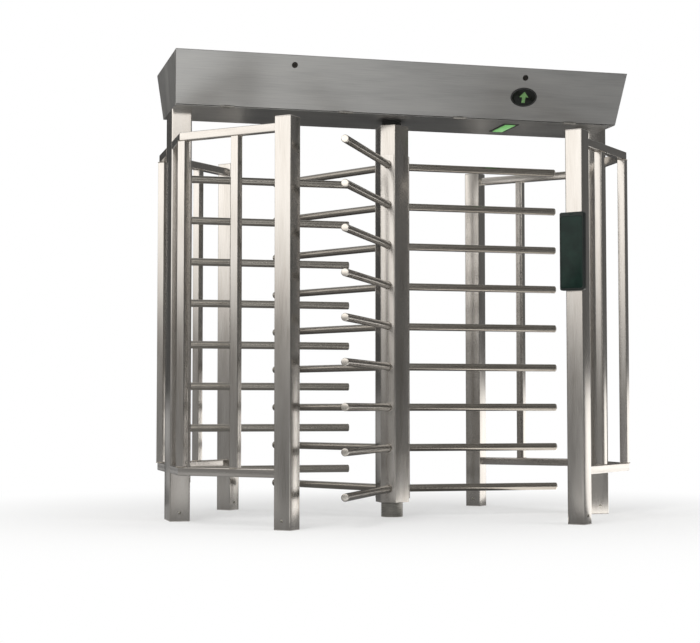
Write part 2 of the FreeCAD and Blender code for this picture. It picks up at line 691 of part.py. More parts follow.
def hood_frame():
    """Two long beams with cross members over the posts and beside the rotor, and four sheet ribs."""
    z0 = UNDERSIDE + SHEET
    reach = HOOD_LENGTH / 2 - SHEET - FREE_CLEARANCE
    beams = []
    outer = BEAM_SIZE / 2
    inner = outer - BEAM_WALL
    z_low = z0 + BEAM_WALL
    z_high = z0 + BEAM_SIZE - BEAM_WALL
    for sy in (-1, 1):
        y = sy * BEAM_Y
        beam = box(-reach, reach, y - outer, y + outer, z0, z0 + BEAM_SIZE)
        bore = box(-reach - OVERCUT, reach + OVERCUT, y - inner, y + inner, z_low, z_high)
        beams.append(beam.cut(bore))
    span = BEAM_Y - outer
    near = TALL_POST_X - TALL_POST_WIDTH / 2
    cross = box(near, reach, -span, span, z0, z0 + BEAM_SIZE)
    open_y = span + OVERCUT
    cross = cross.cut(box(near + BEAM_WALL, reach - BEAM_WALL, -open_y, open_y, z0, z_high))
    beams += [cross, mirrored(cross)]
    for x in (-CENTRE_CROSS_X, CENTRE_CROSS_X):
        cross = box(x - outer, x + outer, -span, span, z0, z0 + BEAM_SIZE)
        bore = box(x - inner, x + inner, -open_y, open_y, z_low, z_high)
        beams.append(cross.cut(bore))
    save("hood_beams", *beams)
    z1 = TOTAL_HEIGHT - SHEET
    front = [SHEET_Y + COVER_LIP + PANEL_GAP - half_depth(z) for z in (BEAM_TOP, z1)]
    rear = [half_depth(z) - SHEET_Y for z in (BEAM_TOP, z1)]
    ribs = []
    for x in RIB_X:
        for sx in (-1, 1):
            x0 = sx * x - RIB_SHEET / 2
            x1 = x0 + RIB_SHEET
            rib = flared_block((x0, x1, front[0], rear[0]), (x0, x1, front[1], rear[1]), BEAM_TOP, z1)
            low = (x0 - OVERCUT, x1 + OVERCUT, front[0] + RIB_FRAME, rear[0] - RIB_FRAME)
            high = (x0 - OVERCUT, x1 + OVERCUT, front[1] + RIB_FRAME, rear[1] - RIB_FRAME)
            ribs.append(rib.cut(flared_block(low, high, BEAM_TOP + RIB_FRAME, z1 - RIB_FRAME)))
    save("hood_ribs", *ribs)


def mechanism_frame():
    """Plate on the beams, bearing housing with its bearing, and the seal under the soffit."""
    plate = box(-PLATE_LENGTH / 2, PLATE_LENGTH / 2, -PLATE_DEPTH / 2, PLATE_DEPTH / 2, BEAM_TOP, DECK)
    lip_bore = SHAFT_DIAMETER + 2 * HOUSING_BORE_GAP
    plate = plate.cut(upright(lip_bore, 0, 0, BEAM_TOP - OVERCUT, DECK + OVERCUT))
    housing = ring(HOUSING_DIAMETER, lip_bore, 0, 0, DECK, DECK + HOUSING_HEIGHT)
    seat = DECK + BEARING_LIP
    housing = housing.cut(upright(TOP_BEARING_DIAMETER, 0, 0, seat, DECK + HOUSING_HEIGHT + OVERCUT))
    bearing_bore = SHAFT_DIAMETER + 2 * RUNNING_CLEARANCE
    bearing = ring(TOP_BEARING_DIAMETER, bearing_bore, 0, 0, seat, seat + TOP_BEARING_HEIGHT)
    for place in housing_bolt_places():
        hole = rod(POST_SCREW, place + UP, place - UP * (HOUSING_HEIGHT + PLATE_THICK + OVERCUT))
        housing = housing.cut(hole)
        plate = plate.cut(hole)
    save("mechanism_plate", plate)
    save("bearing_housing", housing)
    save("top_bearing", bearing)
    inner = SHAFT_DIAMETER + 2 * FREE_CLEARANCE
    save("shaft_seal", ring(SEAL_DIAMETER, inner, 0, 0, COLUMN_TOP + SEAL_GAP, UNDERSIDE))


def lock_disc():
    """Notched disc on the shaft."""
    z0 = LOCK_DISC_Z
    z1 = z0 + LOCK_DISC_THICK
    disc = upright(LOCK_DISC_DIAMETER, 0, 0, z0, z1)
    disc = disc.fuse(upright(SHAFT_DIAMETER + 2 * HUB_WALL, 0, 0, z0 - BEARING_LIP, z0))
    disc = disc.cut(upright(SHAFT_DIAMETER, 0, 0, z0 - BEARING_LIP - OVERCUT, z1 + OVERCUT))
    reach = LOCK_DISC_DIAMETER / 2
    half = NOTCH_WIDTH / 2
    notch = box(reach - NOTCH_DEPTH, reach + OVERCUT, -half, half, z0 - OVERCUT, z1 + OVERCUT)
    for step in range(NOTCH_COUNT):
        disc = disc.cut(turned(notch, step * 360 / NOTCH_COUNT))
    save("lock_disc", disc)


def pawls():
    """Two mirrored pawls with pins, springs, solenoids and plungers."""
    z0 = LOCK_DISC_Z + (LOCK_DISC_THICK - PAWL_THICK) / 2
    z1 = z0 + PAWL_THICK
    half = PAWL_WIDTH / 2
    tip = PAWL_X - LOCK_DISC_DIAMETER / 2 - PAWL_TOOTH_GAP
    tooth = PAWL_TOOTH_WIDTH / 2
    outline = [(-half, -PAWL_TAIL), (half, -PAWL_TAIL), (half, PAWL_ARM - tooth - PAWL_RAMP_START),
               (tip, PAWL_ARM - tooth + PAWL_RAMP_END), (tip, PAWL_ARM + tooth), (-half, PAWL_ARM + tooth)]
    pivot = vector(-PAWL_X, -PAWL_ARM)
    pawl = prism([(pivot.x + x, pivot.y + y) for x, y in outline], z0, z1)
    pawl = pawl.fuse(upright(PAWL_PIN + 2 * PAWL_BOSS_WALL, pivot.x, pivot.y, z0, z1))
    pawl = pawl.cut(upright(PAWL_PIN + 2 * RUNNING_CLEARANCE, pivot.x, pivot.y, z0 - OVERCUT, z1 + OVERCUT))
    save("lock_pawl_entry", pawl)
    save("lock_pawl_exit", mirrored(pawl))
    pin_top = z1 + SPRING_GAP + SPRING_PITCH * SPRING_TURNS + SPRING_WIRE + PIN_SPARE
    pin = upright(PAWL_PIN, pivot.x, pivot.y, DECK, pin_top)
    pin = pin.fuse(upright(PAWL_PIN + 2 * PIN_COLLAR, pivot.x, pivot.y, DECK, z0 - FREE_CLEARANCE / 2))
    pin = pin.fuse(upright(PAWL_PIN + 2 * PIN_COLLAR, pivot.x, pivot.y, pin_top, pin_top + PIN_CLIP))
    save("pawl_pins", pin, mirrored(pin))
    radius = PAWL_PIN / 2 + SPRING_GAP + SPRING_WIRE / 2
    helix = Part.makeHelix(SPRING_PITCH, SPRING_PITCH * SPRING_TURNS, radius)
    profile = Part.Wire([Part.makeCircle(SPRING_WIRE / 2, vector(radius, 0), vector(0, 1))])
    spring = Part.Wire(helix).makePipeShell([profile], True, True)
    spring.translate(vector(pivot.x, pivot.y, z1 + SPRING_GAP + SPRING_WIRE / 2))
    save("pawl_springs", spring, mirrored(spring))
    y = pivot.y - PAWL_TAIL + PLUNGER_DIAMETER / 2
    z = (z0 + z1) / 2
    nose = pivot.x + half + PLUNGER_NOSE_GAP
    body_x = nose + PLUNGER_OUT
    size = SOLENOID_SIZE / 2
    body = box(body_x, body_x + SOLENOID_LENGTH, y - size, y + size, z - size, z + size)
    body = body.fuse(box(body_x, body_x + SOLENOID_LENGTH, y - size, y + size, DECK, z - size))
    bore = PLUNGER_DIAMETER + 2 * RUNNING_CLEARANCE
    back = body_x + SOLENOID_LENGTH - BEARING_LIP
    body = body.cut(rod(bore, vector(body_x - OVERCUT, y, z), vector(back, y, z)))
    save("lock_solenoids", body, mirrored(body))
    plunger = rod(PLUNGER_DIAMETER, vector(nose + PLUNGER_OUT / 2, y, z), vector(back - END_GAP, y, z))
    plunger = plunger.fuse(rod(PLUNGER_NOSE, vector(nose, y, z), vector(nose + PLUNGER_OUT / 2, y, z)))
    save("plunger_entry", plunger)
    save("plunger_exit", mirrored(plunger))


def gear_outline(teeth, phase):
    """Involute outline of an external gear; phase turns the first tooth, in degrees."""
    pitch = GEAR_MODULE * teeth / 2
    base = pitch * math.cos(math.radians(PRESSURE_ANGLE))
    tip = pitch + GEAR_MODULE * TOOTH_ADDENDUM
    root = pitch - GEAR_MODULE * TOOTH_DEDENDUM
    pressure = math.radians(PRESSURE_ANGLE)
    half = math.pi / (2 * teeth) + math.tan(pressure) - pressure - GEAR_BACKLASH / (2 * pitch)
    start = max(base, root)
    flank = []
    for step in range(FLANK_STEPS + 1):
        radius = start + (tip - start) * step / FLANK_STEPS
        roll = math.sqrt(max((radius / base) ** 2 - 1, 0))
        flank.append((radius, half - (roll - math.atan(roll))))
    if root < start:
        flank.insert(0, (root, half))
    points = []
    for tooth in range(teeth):
        centre = math.radians(phase) + 2 * math.pi * tooth / teeth
        side = [(radius, centre - angle) for radius, angle in flank]
        side += [(radius, centre + angle) for radius, angle in reversed(flank)]
        points += [(radius * math.cos(angle), radius * math.sin(angle)) for radius, angle in side]
    return points


def damper():
    """Gear on the shaft, pinion with its shaft, and the damper body on the plate."""
    z0 = GEAR_Z
    z1 = GEAR_Z + GEAR_THICK
    gear = prism(gear_outline(GEAR_TEETH, 90), z0, z1)
    gear = gear.fuse(upright(SHAFT_DIAMETER + 2 * HUB_WALL, 0, 0, LOCK_DISC_Z + LOCK_DISC_THICK, z0))
    gear = gear.cut(upright(SHAFT_DIAMETER, 0, 0, LOCK_DISC_Z, z1 + OVERCUT))
    save("damper_gear", gear)
    body_top = DECK + DAMPER_HEIGHT
    bore = DAMPER_SHAFT + 2 * RUNNING_CLEARANCE
    bore = upright(bore, 0, GEAR_CENTRES, DECK + BEARING_LIP, body_top + OVERCUT)
    save("damper_body", upright(DAMPER_DIAMETER, 0, GEAR_CENTRES, DECK, body_top).cut(bore))
    pinion = prism(gear_outline(PINION_TEETH, -90 + 180 / PINION_TEETH), z0, z1)
    pinion.translate(vector(0, GEAR_CENTRES))
    pinion = pinion.fuse(upright(DAMPER_SHAFT, 0, GEAR_CENTRES, DECK + BEARING_LIP + END_GAP, z0))
    save("damper_pinion", pinion)


def control_box():
    """Controller casing across the beams, with its lid."""
    x0 = CONTROL_X - CONTROL_LENGTH / 2
    x1 = CONTROL_X + CONTROL_LENGTH / 2
    y = BEAM_Y + CONTROL_SEAT
    wall = CONTROL_WALL
    top = BEAM_TOP + CONTROL_HEIGHT
    case = box(x0, x1, -y, y, BEAM_TOP, top)
    case = case.cut(box(x0 + wall, x1 - wall, wall - y, y - wall, BEAM_TOP + wall, top + OVERCUT))
    lid = box(x0 - wall, x1 + wall, -y - wall, y + wall, top, top + wall)
    save("control_box", case, lid)


def front_cover():
    """Slanted front cover that folds down on hinges, with its locks and passage indicator."""
    z0 = UNDERSIDE + COVER_EDGE_GAP
    z1 = TOTAL_HEIGHT - SHEET - PANEL_GAP
    rects = [(-half_length(z), half_length(z), -half_depth(z), SHEET_Y - half_depth(z)) for z in (z0, z1)]
    cover = flared_block(rects[0], rects[1], z0, z1)
    front = -half_depth(z1) + SHEET_Y / 2
    side = half_length(z1) - SHEET - COVER_LIP
    cover = cover.fuse(box(-side, side, front, front + COVER_LIP, z1 - SHEET, z1))
    fixed, moving, pins = hinges()
    for ring_set in moving:
        cover = cover.cut(ring_set)
    for x in HINGE_X:
        half = HINGE_LENGTH / 2 + HINGE_SIDE_GAP
        cover = cover.cut(box(x - half, x + half, HINGE_Y - HINGE_RADIUS - HINGE_NOTCH_GAP,
                              HINGE_Y + HINGE_RADIUS + HINGE_NOTCH_GAP, z0 - OVERCUT,
                              HINGE_Z + HINGE_RADIUS + HINGE_SIDE_GAP))
    barrels = []
    plug_bore = LOCK_PLUG + 2 * RUNNING_CLEARANCE
    bore_ends = vector(0, 0, -LOCK_DEPTH - OVERCUT), vector(0, 0, LOCK_FLANGE_THICK + OVERCUT)
    for name, x in zip(("left", "right"), LOCK_X):
        barrel = rod(LOCK_BARREL, vector(0, 0, -LOCK_DEPTH), vector(0, 0))
        barrel = barrel.fuse(rod(LOCK_FLANGE, vector(0, 0), vector(0, 0, LOCK_FLANGE_THICK)))
        barrels.append(on_face(barrel.cut(rod(plug_bore, *bore_ends)), x, LOCK_Z))
        hole = rod(LOCK_BARREL, vector(0, 0, -LOCK_DEPTH), vector(0, 0, OVERCUT))
        cover = cover.cut(on_face(hole, x, LOCK_Z))
        plug = rod(LOCK_PLUG, vector(0, 0, -LOCK_DEPTH - TONGUE_THICK), vector(0, 0, LOCK_FLANGE_THICK))
        plug = plug.cut(box(-KEYWAY_LENGTH / 2, KEYWAY_LENGTH / 2, -KEYWAY_WIDTH / 2, KEYWAY_WIDTH / 2,
                            LOCK_FLANGE_THICK - KEYWAY_DEPTH, LOCK_FLANGE_THICK + OVERCUT))
        tongue_z = -LOCK_DEPTH - FREE_CLEARANCE
        half = TONGUE_WIDTH / 2
        tongue = box(-half, TONGUE_LENGTH, -half, half, tongue_z - TONGUE_THICK, tongue_z)
        save("lock_plug_" + name, on_face(plug.fuse(tongue), x, LOCK_Z))
    hole_width = INDICATOR_WIDTH - 2 * INDICATOR_RIM
    hole_height = INDICATOR_HEIGHT - 2 * INDICATOR_RIM
    sleeve = oval(hole_width + 2 * SLEEVE_WALL, hole_height + 2 * SLEEVE_WALL, -INDICATOR_DEPTH, 0)
    bezel = oval(INDICATOR_WIDTH, INDICATOR_HEIGHT, 0, INDICATOR_PROUD).fuse(sleeve)
    bezel = bezel.cut(oval(hole_width, hole_height, -INDICATOR_DEPTH - OVERCUT, INDICATOR_PROUD + OVERCUT))
    lens = oval(hole_width, hole_height, -LENS_BACK, LENS_PROUD)
    cover = cover.cut(on_face(sleeve, INDICATOR_X, INDICATOR_Z))
    save("indicator_bezel", on_face(bezel, INDICATOR_X, INDICATOR_Z))
    save("indicator_lens", on_face(lens, INDICATOR_X, INDICATOR_Z))
    save("hood_front_cover", cover)
    save("lock_barrels", *barrels)
    save("hinge_knuckles_fixed", *fixed, *pins)
    save("hinge_knuckles_moving", *moving)
    save("lock_keepers", *keepers())


def hinges():
    """Fixed knuckles under the soffit's edge, moving knuckles behind the cover, and their pins."""
    fixed = []
    moving = []
    pins = []
    centre = HINGE_LENGTH / 2
    over = vector(OVERCUT, 0)
    for x in HINGE_X:
        axis = [vector(x + dx, HINGE_Y, HINGE_Z) for dx in (-centre, centre)]
        leaf_top = UNDERSIDE
        leaf_end = HINGE_Y + FIXED_LEAF_LENGTH
        leaf = box(x - centre, x + centre, HINGE_Y, leaf_end, leaf_top - HINGE_LEAF, leaf_top)
        knuckle = rod(2 * HINGE_RADIUS, axis[0], axis[1]).fuse(leaf)
        fixed.append(knuckle.cut(rod(HINGE_PIN, axis[0] - over, axis[1] + over)))
        reach = centre + PANEL_GAP + HINGE_SIDE_LENGTH
        pins.append(rod(HINGE_PIN, vector(x - reach, HINGE_Y, HINGE_Z), vector(x + reach, HINGE_Y, HINGE_Z)))
        for side in (-1, 1):
            x0, x1 = sorted((x + side * (centre + PANEL_GAP), x + side * reach))
            start = vector(x0, HINGE_Y, HINGE_Z)
            knuckle = rod(2 * HINGE_RADIUS, start, vector(x1, HINGE_Y, HINGE_Z))
            leaf = box(x0 - x, x1 - x, 0, MOVING_LEAF_LENGTH, -SHEET - HINGE_LEAF, -SHEET)
            knuckle = knuckle.fuse(on_face(leaf, x, HINGE_Z))
            end = vector(x1, HINGE_Y, HINGE_Z) + over
            moving.append(knuckle.cut(rod(HINGE_PIN + 2 * RUNNING_CLEARANCE, start - over, end)))
    return fixed, moving, pins


def keepers():
    """Angle plates under the top panel that the lock tongues turn behind."""
    z1 = TOTAL_HEIGHT - SHEET
    half = TONGUE_WIDTH
    inner = LOCK_DEPTH + FREE_CLEARANCE - KEEPER_GAP
    low = TONGUE_LENGTH - KEEPER_LAP
    plate = box(-half, half, low, low + HOOD_HEIGHT / 2, -inner, SHEET - inner)
    root_y = inner * SHEET_Y / SHEET - half_depth(z1)
    flange = box(-half, half, root_y - SHEET_Y / 2, root_y + COVER_LIP, z1 - SHEET, z1)
    above = box(-2 * half, 2 * half, -HOOD_DEPTH, 0, z1, z1 + HOOD_HEIGHT)
    plates = []
    for x in LOCK_X:
        place = vector(x, 0)
        keeper = on_face(plate, x, LOCK_Z)
        plates.append(keeper.fuse(flange.translated(place)).cut(above.translated(place)))
    return plates


def passage_lamp():
    """Lamp body through the soffit between the beams, its rim below, and the lens in the rim."""
    half_x = LAMP_WIDTH / 2
    half_y = LAMP_LENGTH / 2
    rim = LAMP_RIM
    x = LAMP_X
    z = UNDERSIDE
    lamp = box(x - half_x, x + half_x, -half_y, half_y, z - LAMP_RIM_THICK, z)
    body = (x - half_x + rim, x + half_x - rim, rim - half_y, half_y - rim)
    lamp = lamp.fuse(box(*body, z - LAMP_RIM_THICK, z + LAMP_DEPTH))
    window = (x - half_x + 2 * rim, x + half_x - 2 * rim, 2 * rim - half_y, half_y - 2 * rim)
    lens = box(*window, z - LAMP_LENS_PROUD, z + LAMP_LENS_BACK)
    lamp = lamp.cut(box(*window, z - LAMP_LENS_PROUD, z + LAMP_DEPTH - SHEET))
    save("passage_lamp", lamp)
    save("passage_lamp_lens", lens)


def card_reader():
    """Shallow casing on a guard post's entry face, with a dark window over most of its front."""
    half = READER_WIDTH / 2
    back = GUARD_POST_SIZE / 2
    front = back + READER_THICK
    case = box(-half, half, back, front, READER_BOTTOM, READER_TOP)
    upright_edges = [edge for edge in case.Edges if abs(edge.BoundBox.YLength - READER_THICK) < 0.01]
    case = case.makeFillet(READER_CORNER, upright_edges)
    wall = READER_WALL
    bottom = READER_BOTTOM + wall
    case = case.cut(box(wall - half, half - wall, back + wall, front - wall, bottom, READER_TOP - wall))
    window_low = READER_BOTTOM + READER_FOOT
    window_high = READER_TOP - READER_CHIN
    edge = READER_RIM
    window = box(edge - half, half - edge, front - wall, front, window_low + edge, window_high)
    case = case.cut(window)
    x, y, angle = guard_place(1, -1)
    save("reader_housing", turned(case, angle + 90, x, y))
    save("reader_window", turned(window, angle + 90, x, y))


os.makedirs("parts", exist_ok=True)
tall_posts()
guard_posts()
post_shoes()
cage_rails()
cage_bars()
comb()
frame_bolts()
rotor()
floor_pivot()
hood_panels()
hood_frame()
mechanism_frame()
lock_disc()
pawls()
damper()
control_box()
front_cover()
passage_lamp()
card_reader()
print(len(os.listdir("parts")), "nodes written")
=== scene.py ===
"""Full height turnstile in brushed stainless steel: posts, cages, comb, rotor, hood and mechanism."""
import math

import bmesh
import bpy
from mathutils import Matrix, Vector


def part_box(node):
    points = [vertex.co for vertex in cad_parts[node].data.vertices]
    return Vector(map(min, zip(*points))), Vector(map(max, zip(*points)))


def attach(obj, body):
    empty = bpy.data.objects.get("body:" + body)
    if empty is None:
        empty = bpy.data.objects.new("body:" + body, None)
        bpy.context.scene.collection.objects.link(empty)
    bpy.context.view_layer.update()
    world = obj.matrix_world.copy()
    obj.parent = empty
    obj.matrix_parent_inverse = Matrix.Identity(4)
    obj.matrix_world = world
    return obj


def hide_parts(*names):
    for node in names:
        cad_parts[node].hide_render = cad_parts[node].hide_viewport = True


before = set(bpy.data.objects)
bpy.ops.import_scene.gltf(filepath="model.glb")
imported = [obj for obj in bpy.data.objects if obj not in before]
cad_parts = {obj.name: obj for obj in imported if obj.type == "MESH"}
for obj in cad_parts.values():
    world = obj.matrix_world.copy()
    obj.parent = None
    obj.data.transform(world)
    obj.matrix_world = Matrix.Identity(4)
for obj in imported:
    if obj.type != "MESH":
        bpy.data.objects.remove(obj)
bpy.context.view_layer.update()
MM = 0.001


# Tall posts
# Two 100 x 190 mm square-edged hollow sections that carry the hood ends. They are cold-rolled
# stainless tube with small drawn corners, ground along their length with a 240 grit belt.
TALL_POST_RADIUS = 6 * MM
WALL = 4 * MM
LEAST_BORE_RADIUS = 0.5 * MM
CORNER_STEPS = 4
SHARP_ANGLE = math.radians(38)
STEEL_LIGHT = "#cfccc8"
STEEL_DARK = "#c4c0bb"
STEEL_SCUFF = "#b5b0aa"
BELT_PATCH_LENGTH = 420 * MM
BELT_PATCH_WIDTH = 60 * MM
BELT_PATCH_SHARE = 0.45
# Nearly all of a noise lies between these two values.
NOISE_LOW = 0.3
NOISE_HIGH = 0.7
BEVEL_SAMPLES = 4
METAL = {"Metallic": 1.0}


def linear(hex_colour):
    """sRGB hex to the linear RGBA that shader sockets take."""
    channels = [int(hex_colour[i:i + 2], 16) / 255 for i in (1, 3, 5)]
    return [c / 12.92 if c <= 0.04045 else ((c + 0.055) / 1.055) ** 2.4 for c in channels] + [1.0]


def add_node(tree, kind, settings=None, values=None, links=None):
    """One shader node: its own settings, the values on its sockets and the sockets that feed it."""
    node = tree.nodes.new("ShaderNode" + kind)
    for name, value in (settings or {}).items():
        setattr(node, name, value)
    for name, value in (values or {}).items():
        node.inputs[name].default_value = value
    for name, source in (links or {}).items():
        tree.links.new(source, node.inputs[name])
    return node


def new_material(name):
    """Empty node material, its tree and its output node."""
    material = bpy.data.materials.new(name)
    material.use_nodes = True
    material.node_tree.nodes.clear()
    return material, material.node_tree, add_node(material.node_tree, "OutputMaterial")


def colour_ramp(tree, source, stops):
    """Ramp from (position, colour) stops, where a colour is sRGB hex or already linear."""
    ramp = add_node(tree, "ValToRGB", links={"Fac": source})
    elements = ramp.color_ramp.elements
    while len(elements) < len(stops):
        elements.new(1.0)
    for element, (position, colour) in zip(elements, stops):
        element.position = position
        element.color = linear(colour) if isinstance(colour, str) else colour
    return ramp.outputs["Color"]


def finish(tree, out, colour, tone, rough, relief, bump, edge, values):
    """Shader that every unlit surface shares. The tone moves the roughness between two values, the
    relief gives a fine bump of (strength, depth), and edge is the radius that softens corners."""
    spread = {"From Min": NOISE_LOW, "From Max": NOISE_HIGH, "To Min": rough[0], "To Max": rough[1]}
    gloss = add_node(tree, "MapRange", values=spread, links={"Value": tone})
    form = {"Height": relief}
    if edge:
        bevel = add_node(tree, "Bevel", {"samples": BEVEL_SAMPLES}, {"Radius": edge})
        form["Normal"] = bevel.outputs["Normal"]
    fine = add_node(tree, "Bump", values={"Strength": bump[0], "Distance": bump[1]}, links=form)
    shader = add_node(tree, "BsdfPrincipled", values=values,
                      links={"Base Color": colour, "Roughness": gloss.outputs["Result"],
                             "Normal": fine.outputs["Normal"]})
    tree.links.new(shader.outputs["BSDF"], out.inputs["Surface"])


def ground_steel(name, colours, roughness, line_mm, length_mm, along="grain"):
    """Belt-ground metal. The grit leaves long fine scratches that run one way, so the eye sees a soft
    streak along the work, broad pale and dark patches where the belt pressed more, and a blurred,
    stretched reflection. A real scratch is 0.1 mm wide, drawn here as coarse as it needs to show."""
    material, tree, out = new_material(name)
    if along == "grain":
        place = add_node(tree, "Attribute", {"attribute_name": "grain"}).outputs["Vector"]
    else:
        place = add_node(tree, "TexCoord").outputs["Object"]
    run = "XYZ".index(along) if along in "XYZ" else 0
    layers = []
    for length, width, detail, coarseness in ((length_mm * MM, line_mm * MM, 3.0, 0.6),
                                              (BELT_PATCH_LENGTH, BELT_PATCH_WIDTH, 2.0, 0.5)):
        scale = [1 / (length if i == run else width) for i in range(3)]
        stretched = add_node(tree, "Mapping", values={"Scale": scale}, links={"Vector": place})
        noise = add_node(tree, "TexNoise", values={"Scale": 1.0, "Detail": detail, "Roughness": coarseness},
                         links={"Vector": stretched.outputs["Vector"]})
        layers.append(noise.outputs["Fac"])
    scratch, patch = layers
    mixed = add_node(tree, "Mix", {"data_type": "FLOAT"}, {"Factor": BELT_PATCH_SHARE},
                     {"A": scratch, "B": patch}).outputs["Result"]
    colour = colour_ramp(tree, mixed, [(0.34, colours[2]), (0.46, colours[1]), (0.62, colours[0])])
    finish(tree, out, colour, tone=mixed, rough=(roughness - 0.05, roughness + 0.05),
           relief=scratch, bump=(0.12, 0.2 * MM), edge=1.2 * MM, values=METAL)
    return material


class Shape:
    """Points and faces of one piece, with each corner's place along and around the work, in metres."""

    def __init__(self):
        self.points = []
        self.faces = []
        self.grain = []

    def skin(self, rings, ends="open"):
        """Faces between rings of points. ends is open, closed by flat faces, or loop back to the first."""
        start = len(self.points)
        count = len(rings[0])
        along = [0.0]
        for a, b in zip(rings, rings[1:]):
            along.append(along[-1] + (sum(b, Vector()) / count - sum(a, Vector()) / count).length)
        around = [0.0]
        for a, b in zip(rings[0], rings[0][1:] + rings[0][:1]):
            around.append(around[-1] + (b - a).length)
        for ring in rings:
            self.points.extend(ring)
        rows = len(rings) if ends == "loop" else len(rings) - 1
        for row in range(rows):
            low = start + row * count
            high = start + (row + 1) % len(rings) * count
            near, far = along[row], along[(row + 1) % len(rings)]
            for i in range(count):
                j = (i + 1) % count
                self.faces.append((low + i, low + j, high + j, high + i))
                self.grain.extend([(near, around[i], 0), (near, around[i + 1], 0),
                                   (far, around[i + 1], 0), (far, around[i], 0)])
        if ends == "closed":
            last = start + (len(rings) - 1) * count
            self.flat([start + i for i in reversed(range(count))])
            self.flat([last + i for i in range(count)])
        return self

    def flat(self, corners):
        """One flat face over an open end."""
        self.faces.append(tuple(corners))
        self.grain.extend([tuple(self.points[i]) for i in corners])

    def piece(self, name, body, slot, material, replaced=()):
        """Object made of the shape, riding on a CAD body."""
        mesh = bpy.data.meshes.new(name)
        mesh.from_pydata([tuple(p) for p in self.points], [], self.faces)
        grain = mesh.attributes.new("grain", "FLOAT_VECTOR", "CORNER")
        grain.data.foreach_set("vector", [value for corner in self.grain for value in corner])
        mesh.validate()
        work = bmesh.new()
        work.from_mesh(mesh)
        bmesh.ops.recalc_face_normals(work, faces=work.faces)
        work.to_mesh(mesh)
        work.free()
        for polygon in mesh.polygons:
            polygon.use_smooth = True
        mesh.set_sharp_from_angle(angle=SHARP_ANGLE)
        mesh.materials.append(material)
        made = bpy.data.objects.new(name, mesh)
        bpy.context.scene.collection.objects.link(made)
        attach(made, body)
        if replaced:
            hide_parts(*replaced)


def rounded(corners, radius, steps=CORNER_STEPS):
    """Outline of a convex polygon, counterclockwise, with its corners rounded."""
    outline = []
    for i, corner in enumerate(corners):
        before = Vector(corners[i - 1])
        here = Vector(corner)
        after = Vector(corners[(i + 1) % len(corners)])
        back, on = (before - here).normalized(), (after - here).normalized()
        half = math.acos(max(-1.0, min(1.0, back.dot(on)))) / 2
        centre = here + (back + on).normalized() * (radius / math.sin(half))
        first = here + back * (radius / math.tan(half)) - centre
        turn = math.pi - 2 * half
        for step in range(steps + 1):
            a = turn * step / steps
            outline.append(centre + Vector((first.x * math.cos(a) - first.y * math.sin(a),
                                            first.x * math.sin(a) + first.y * math.cos(a))))
    return outline


def rectangle(width, depth):
    """Corners of a rectangle about its middle."""
    return [(x * width / 2, y * depth / 2) for x, y in ((-1, -1), (1, -1), (1, 1), (-1, 1))]


def upright_ring(outline, x, y, z, angle=0.0):
    """Outline laid flat at a height, turned about the vertical."""
    c, s = math.cos(angle), math.sin(angle)
    return [Vector((x + p.x * c - p.y * s, y + p.x * s + p.y * c, z)) for p in outline]


def upright_tube(shape, corners, radius, wall, x, y, z0, z1, angle=0.0):
    """Open hollow section standing on end."""
    outer = rounded(corners, radius)
    inner = rounded([(cx * (1 - wall / abs(cx)), cy * (1 - wall / abs(cy))) for cx, cy in corners],
                    max(radius - wall, LEAST_BORE_RADIUS))
    shape.skin([upright_ring(outer, x, y, z0, angle), upright_ring(outer, x, y, z1, angle),
                upright_ring(inner, x, y, z1, angle), upright_ring(inner, x, y, z0, angle)], "loop")


stainless = ground_steel("stainless_ground_240_grit", (STEEL_LIGHT, STEEL_DARK, STEEL_SCUFF),
                         roughness=0.2, line_mm=1.1, length_mm=120)
for side in ("left", "right"):
    low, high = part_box("tall_post_" + side)
    post = Shape()
    upright_tube(post, rectangle(high.x - low.x, high.y - low.y), TALL_POST_RADIUS, WALL,
                 (low.x + high.x) / 2, (low.y + high.y) / 2, low.z, high.z)
    post.piece("ground_tall_post_" + side, "frame", "brushed_stainless", stainless, ["tall_post_" + side])


# Guard posts
# Four 88 mm square hollow sections at the corners of the two walkways, turned so that one face
# meets the cage squarely. Each is closed by a welded top cap with a ground, slightly domed edge.
GUARD_SIZE = 88 * MM
GUARD_RADIUS = 6 * MM
GUARD_X = 715 * MM
GUARD_Y = 750 * MM
CAGE_CORNER = (1135 * MM, 345 * MM)
CAGE_ANGLE = math.atan2(GUARD_Y - CAGE_CORNER[1], CAGE_CORNER[0] - GUARD_X)
CAP_PROFILE = ((-5, 0.3), (-4.6, 0), (-1.8, 0), (-0.5, 0.7), (0, 1.8))

guard_places = []
for name, sx, sy in (("front_left", -1, -1), ("front_right", 1, -1),
                     ("rear_left", -1, 1), ("rear_right", 1, 1)):
    facing = math.atan2(-sy * math.sin(CAGE_ANGLE), sx * math.cos(CAGE_ANGLE))
    guard_places.append((name, sx, sy, facing))
cap_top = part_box("guard_post_caps")[1].z
caps = Shape()
for name, sx, sy, facing in guard_places:
    x, y = sx * GUARD_X, sy * GUARD_Y
    low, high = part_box("guard_post_" + name)
    post = Shape()
    upright_tube(post, rectangle(GUARD_SIZE, GUARD_SIZE), GUARD_RADIUS, WALL, x, y, low.z, high.z, facing)
    post.piece("ground_guard_post_" + name, "frame", "brushed_stainless", stainless, ["guard_post_" + name])
    rings = []
    for rise, inset in CAP_PROFILE:
        width = GUARD_SIZE - 2 * inset * MM
        outline = rounded(rectangle(width, width), GUARD_RADIUS - inset * MM)
        rings.append(upright_ring(outline, x, y, cap_top + rise * MM, facing))
    caps.skin(rings, "closed")
caps.piece("guard_post_top_caps", "frame", "brushed_stainless", stainless, ["guard_post_caps"])


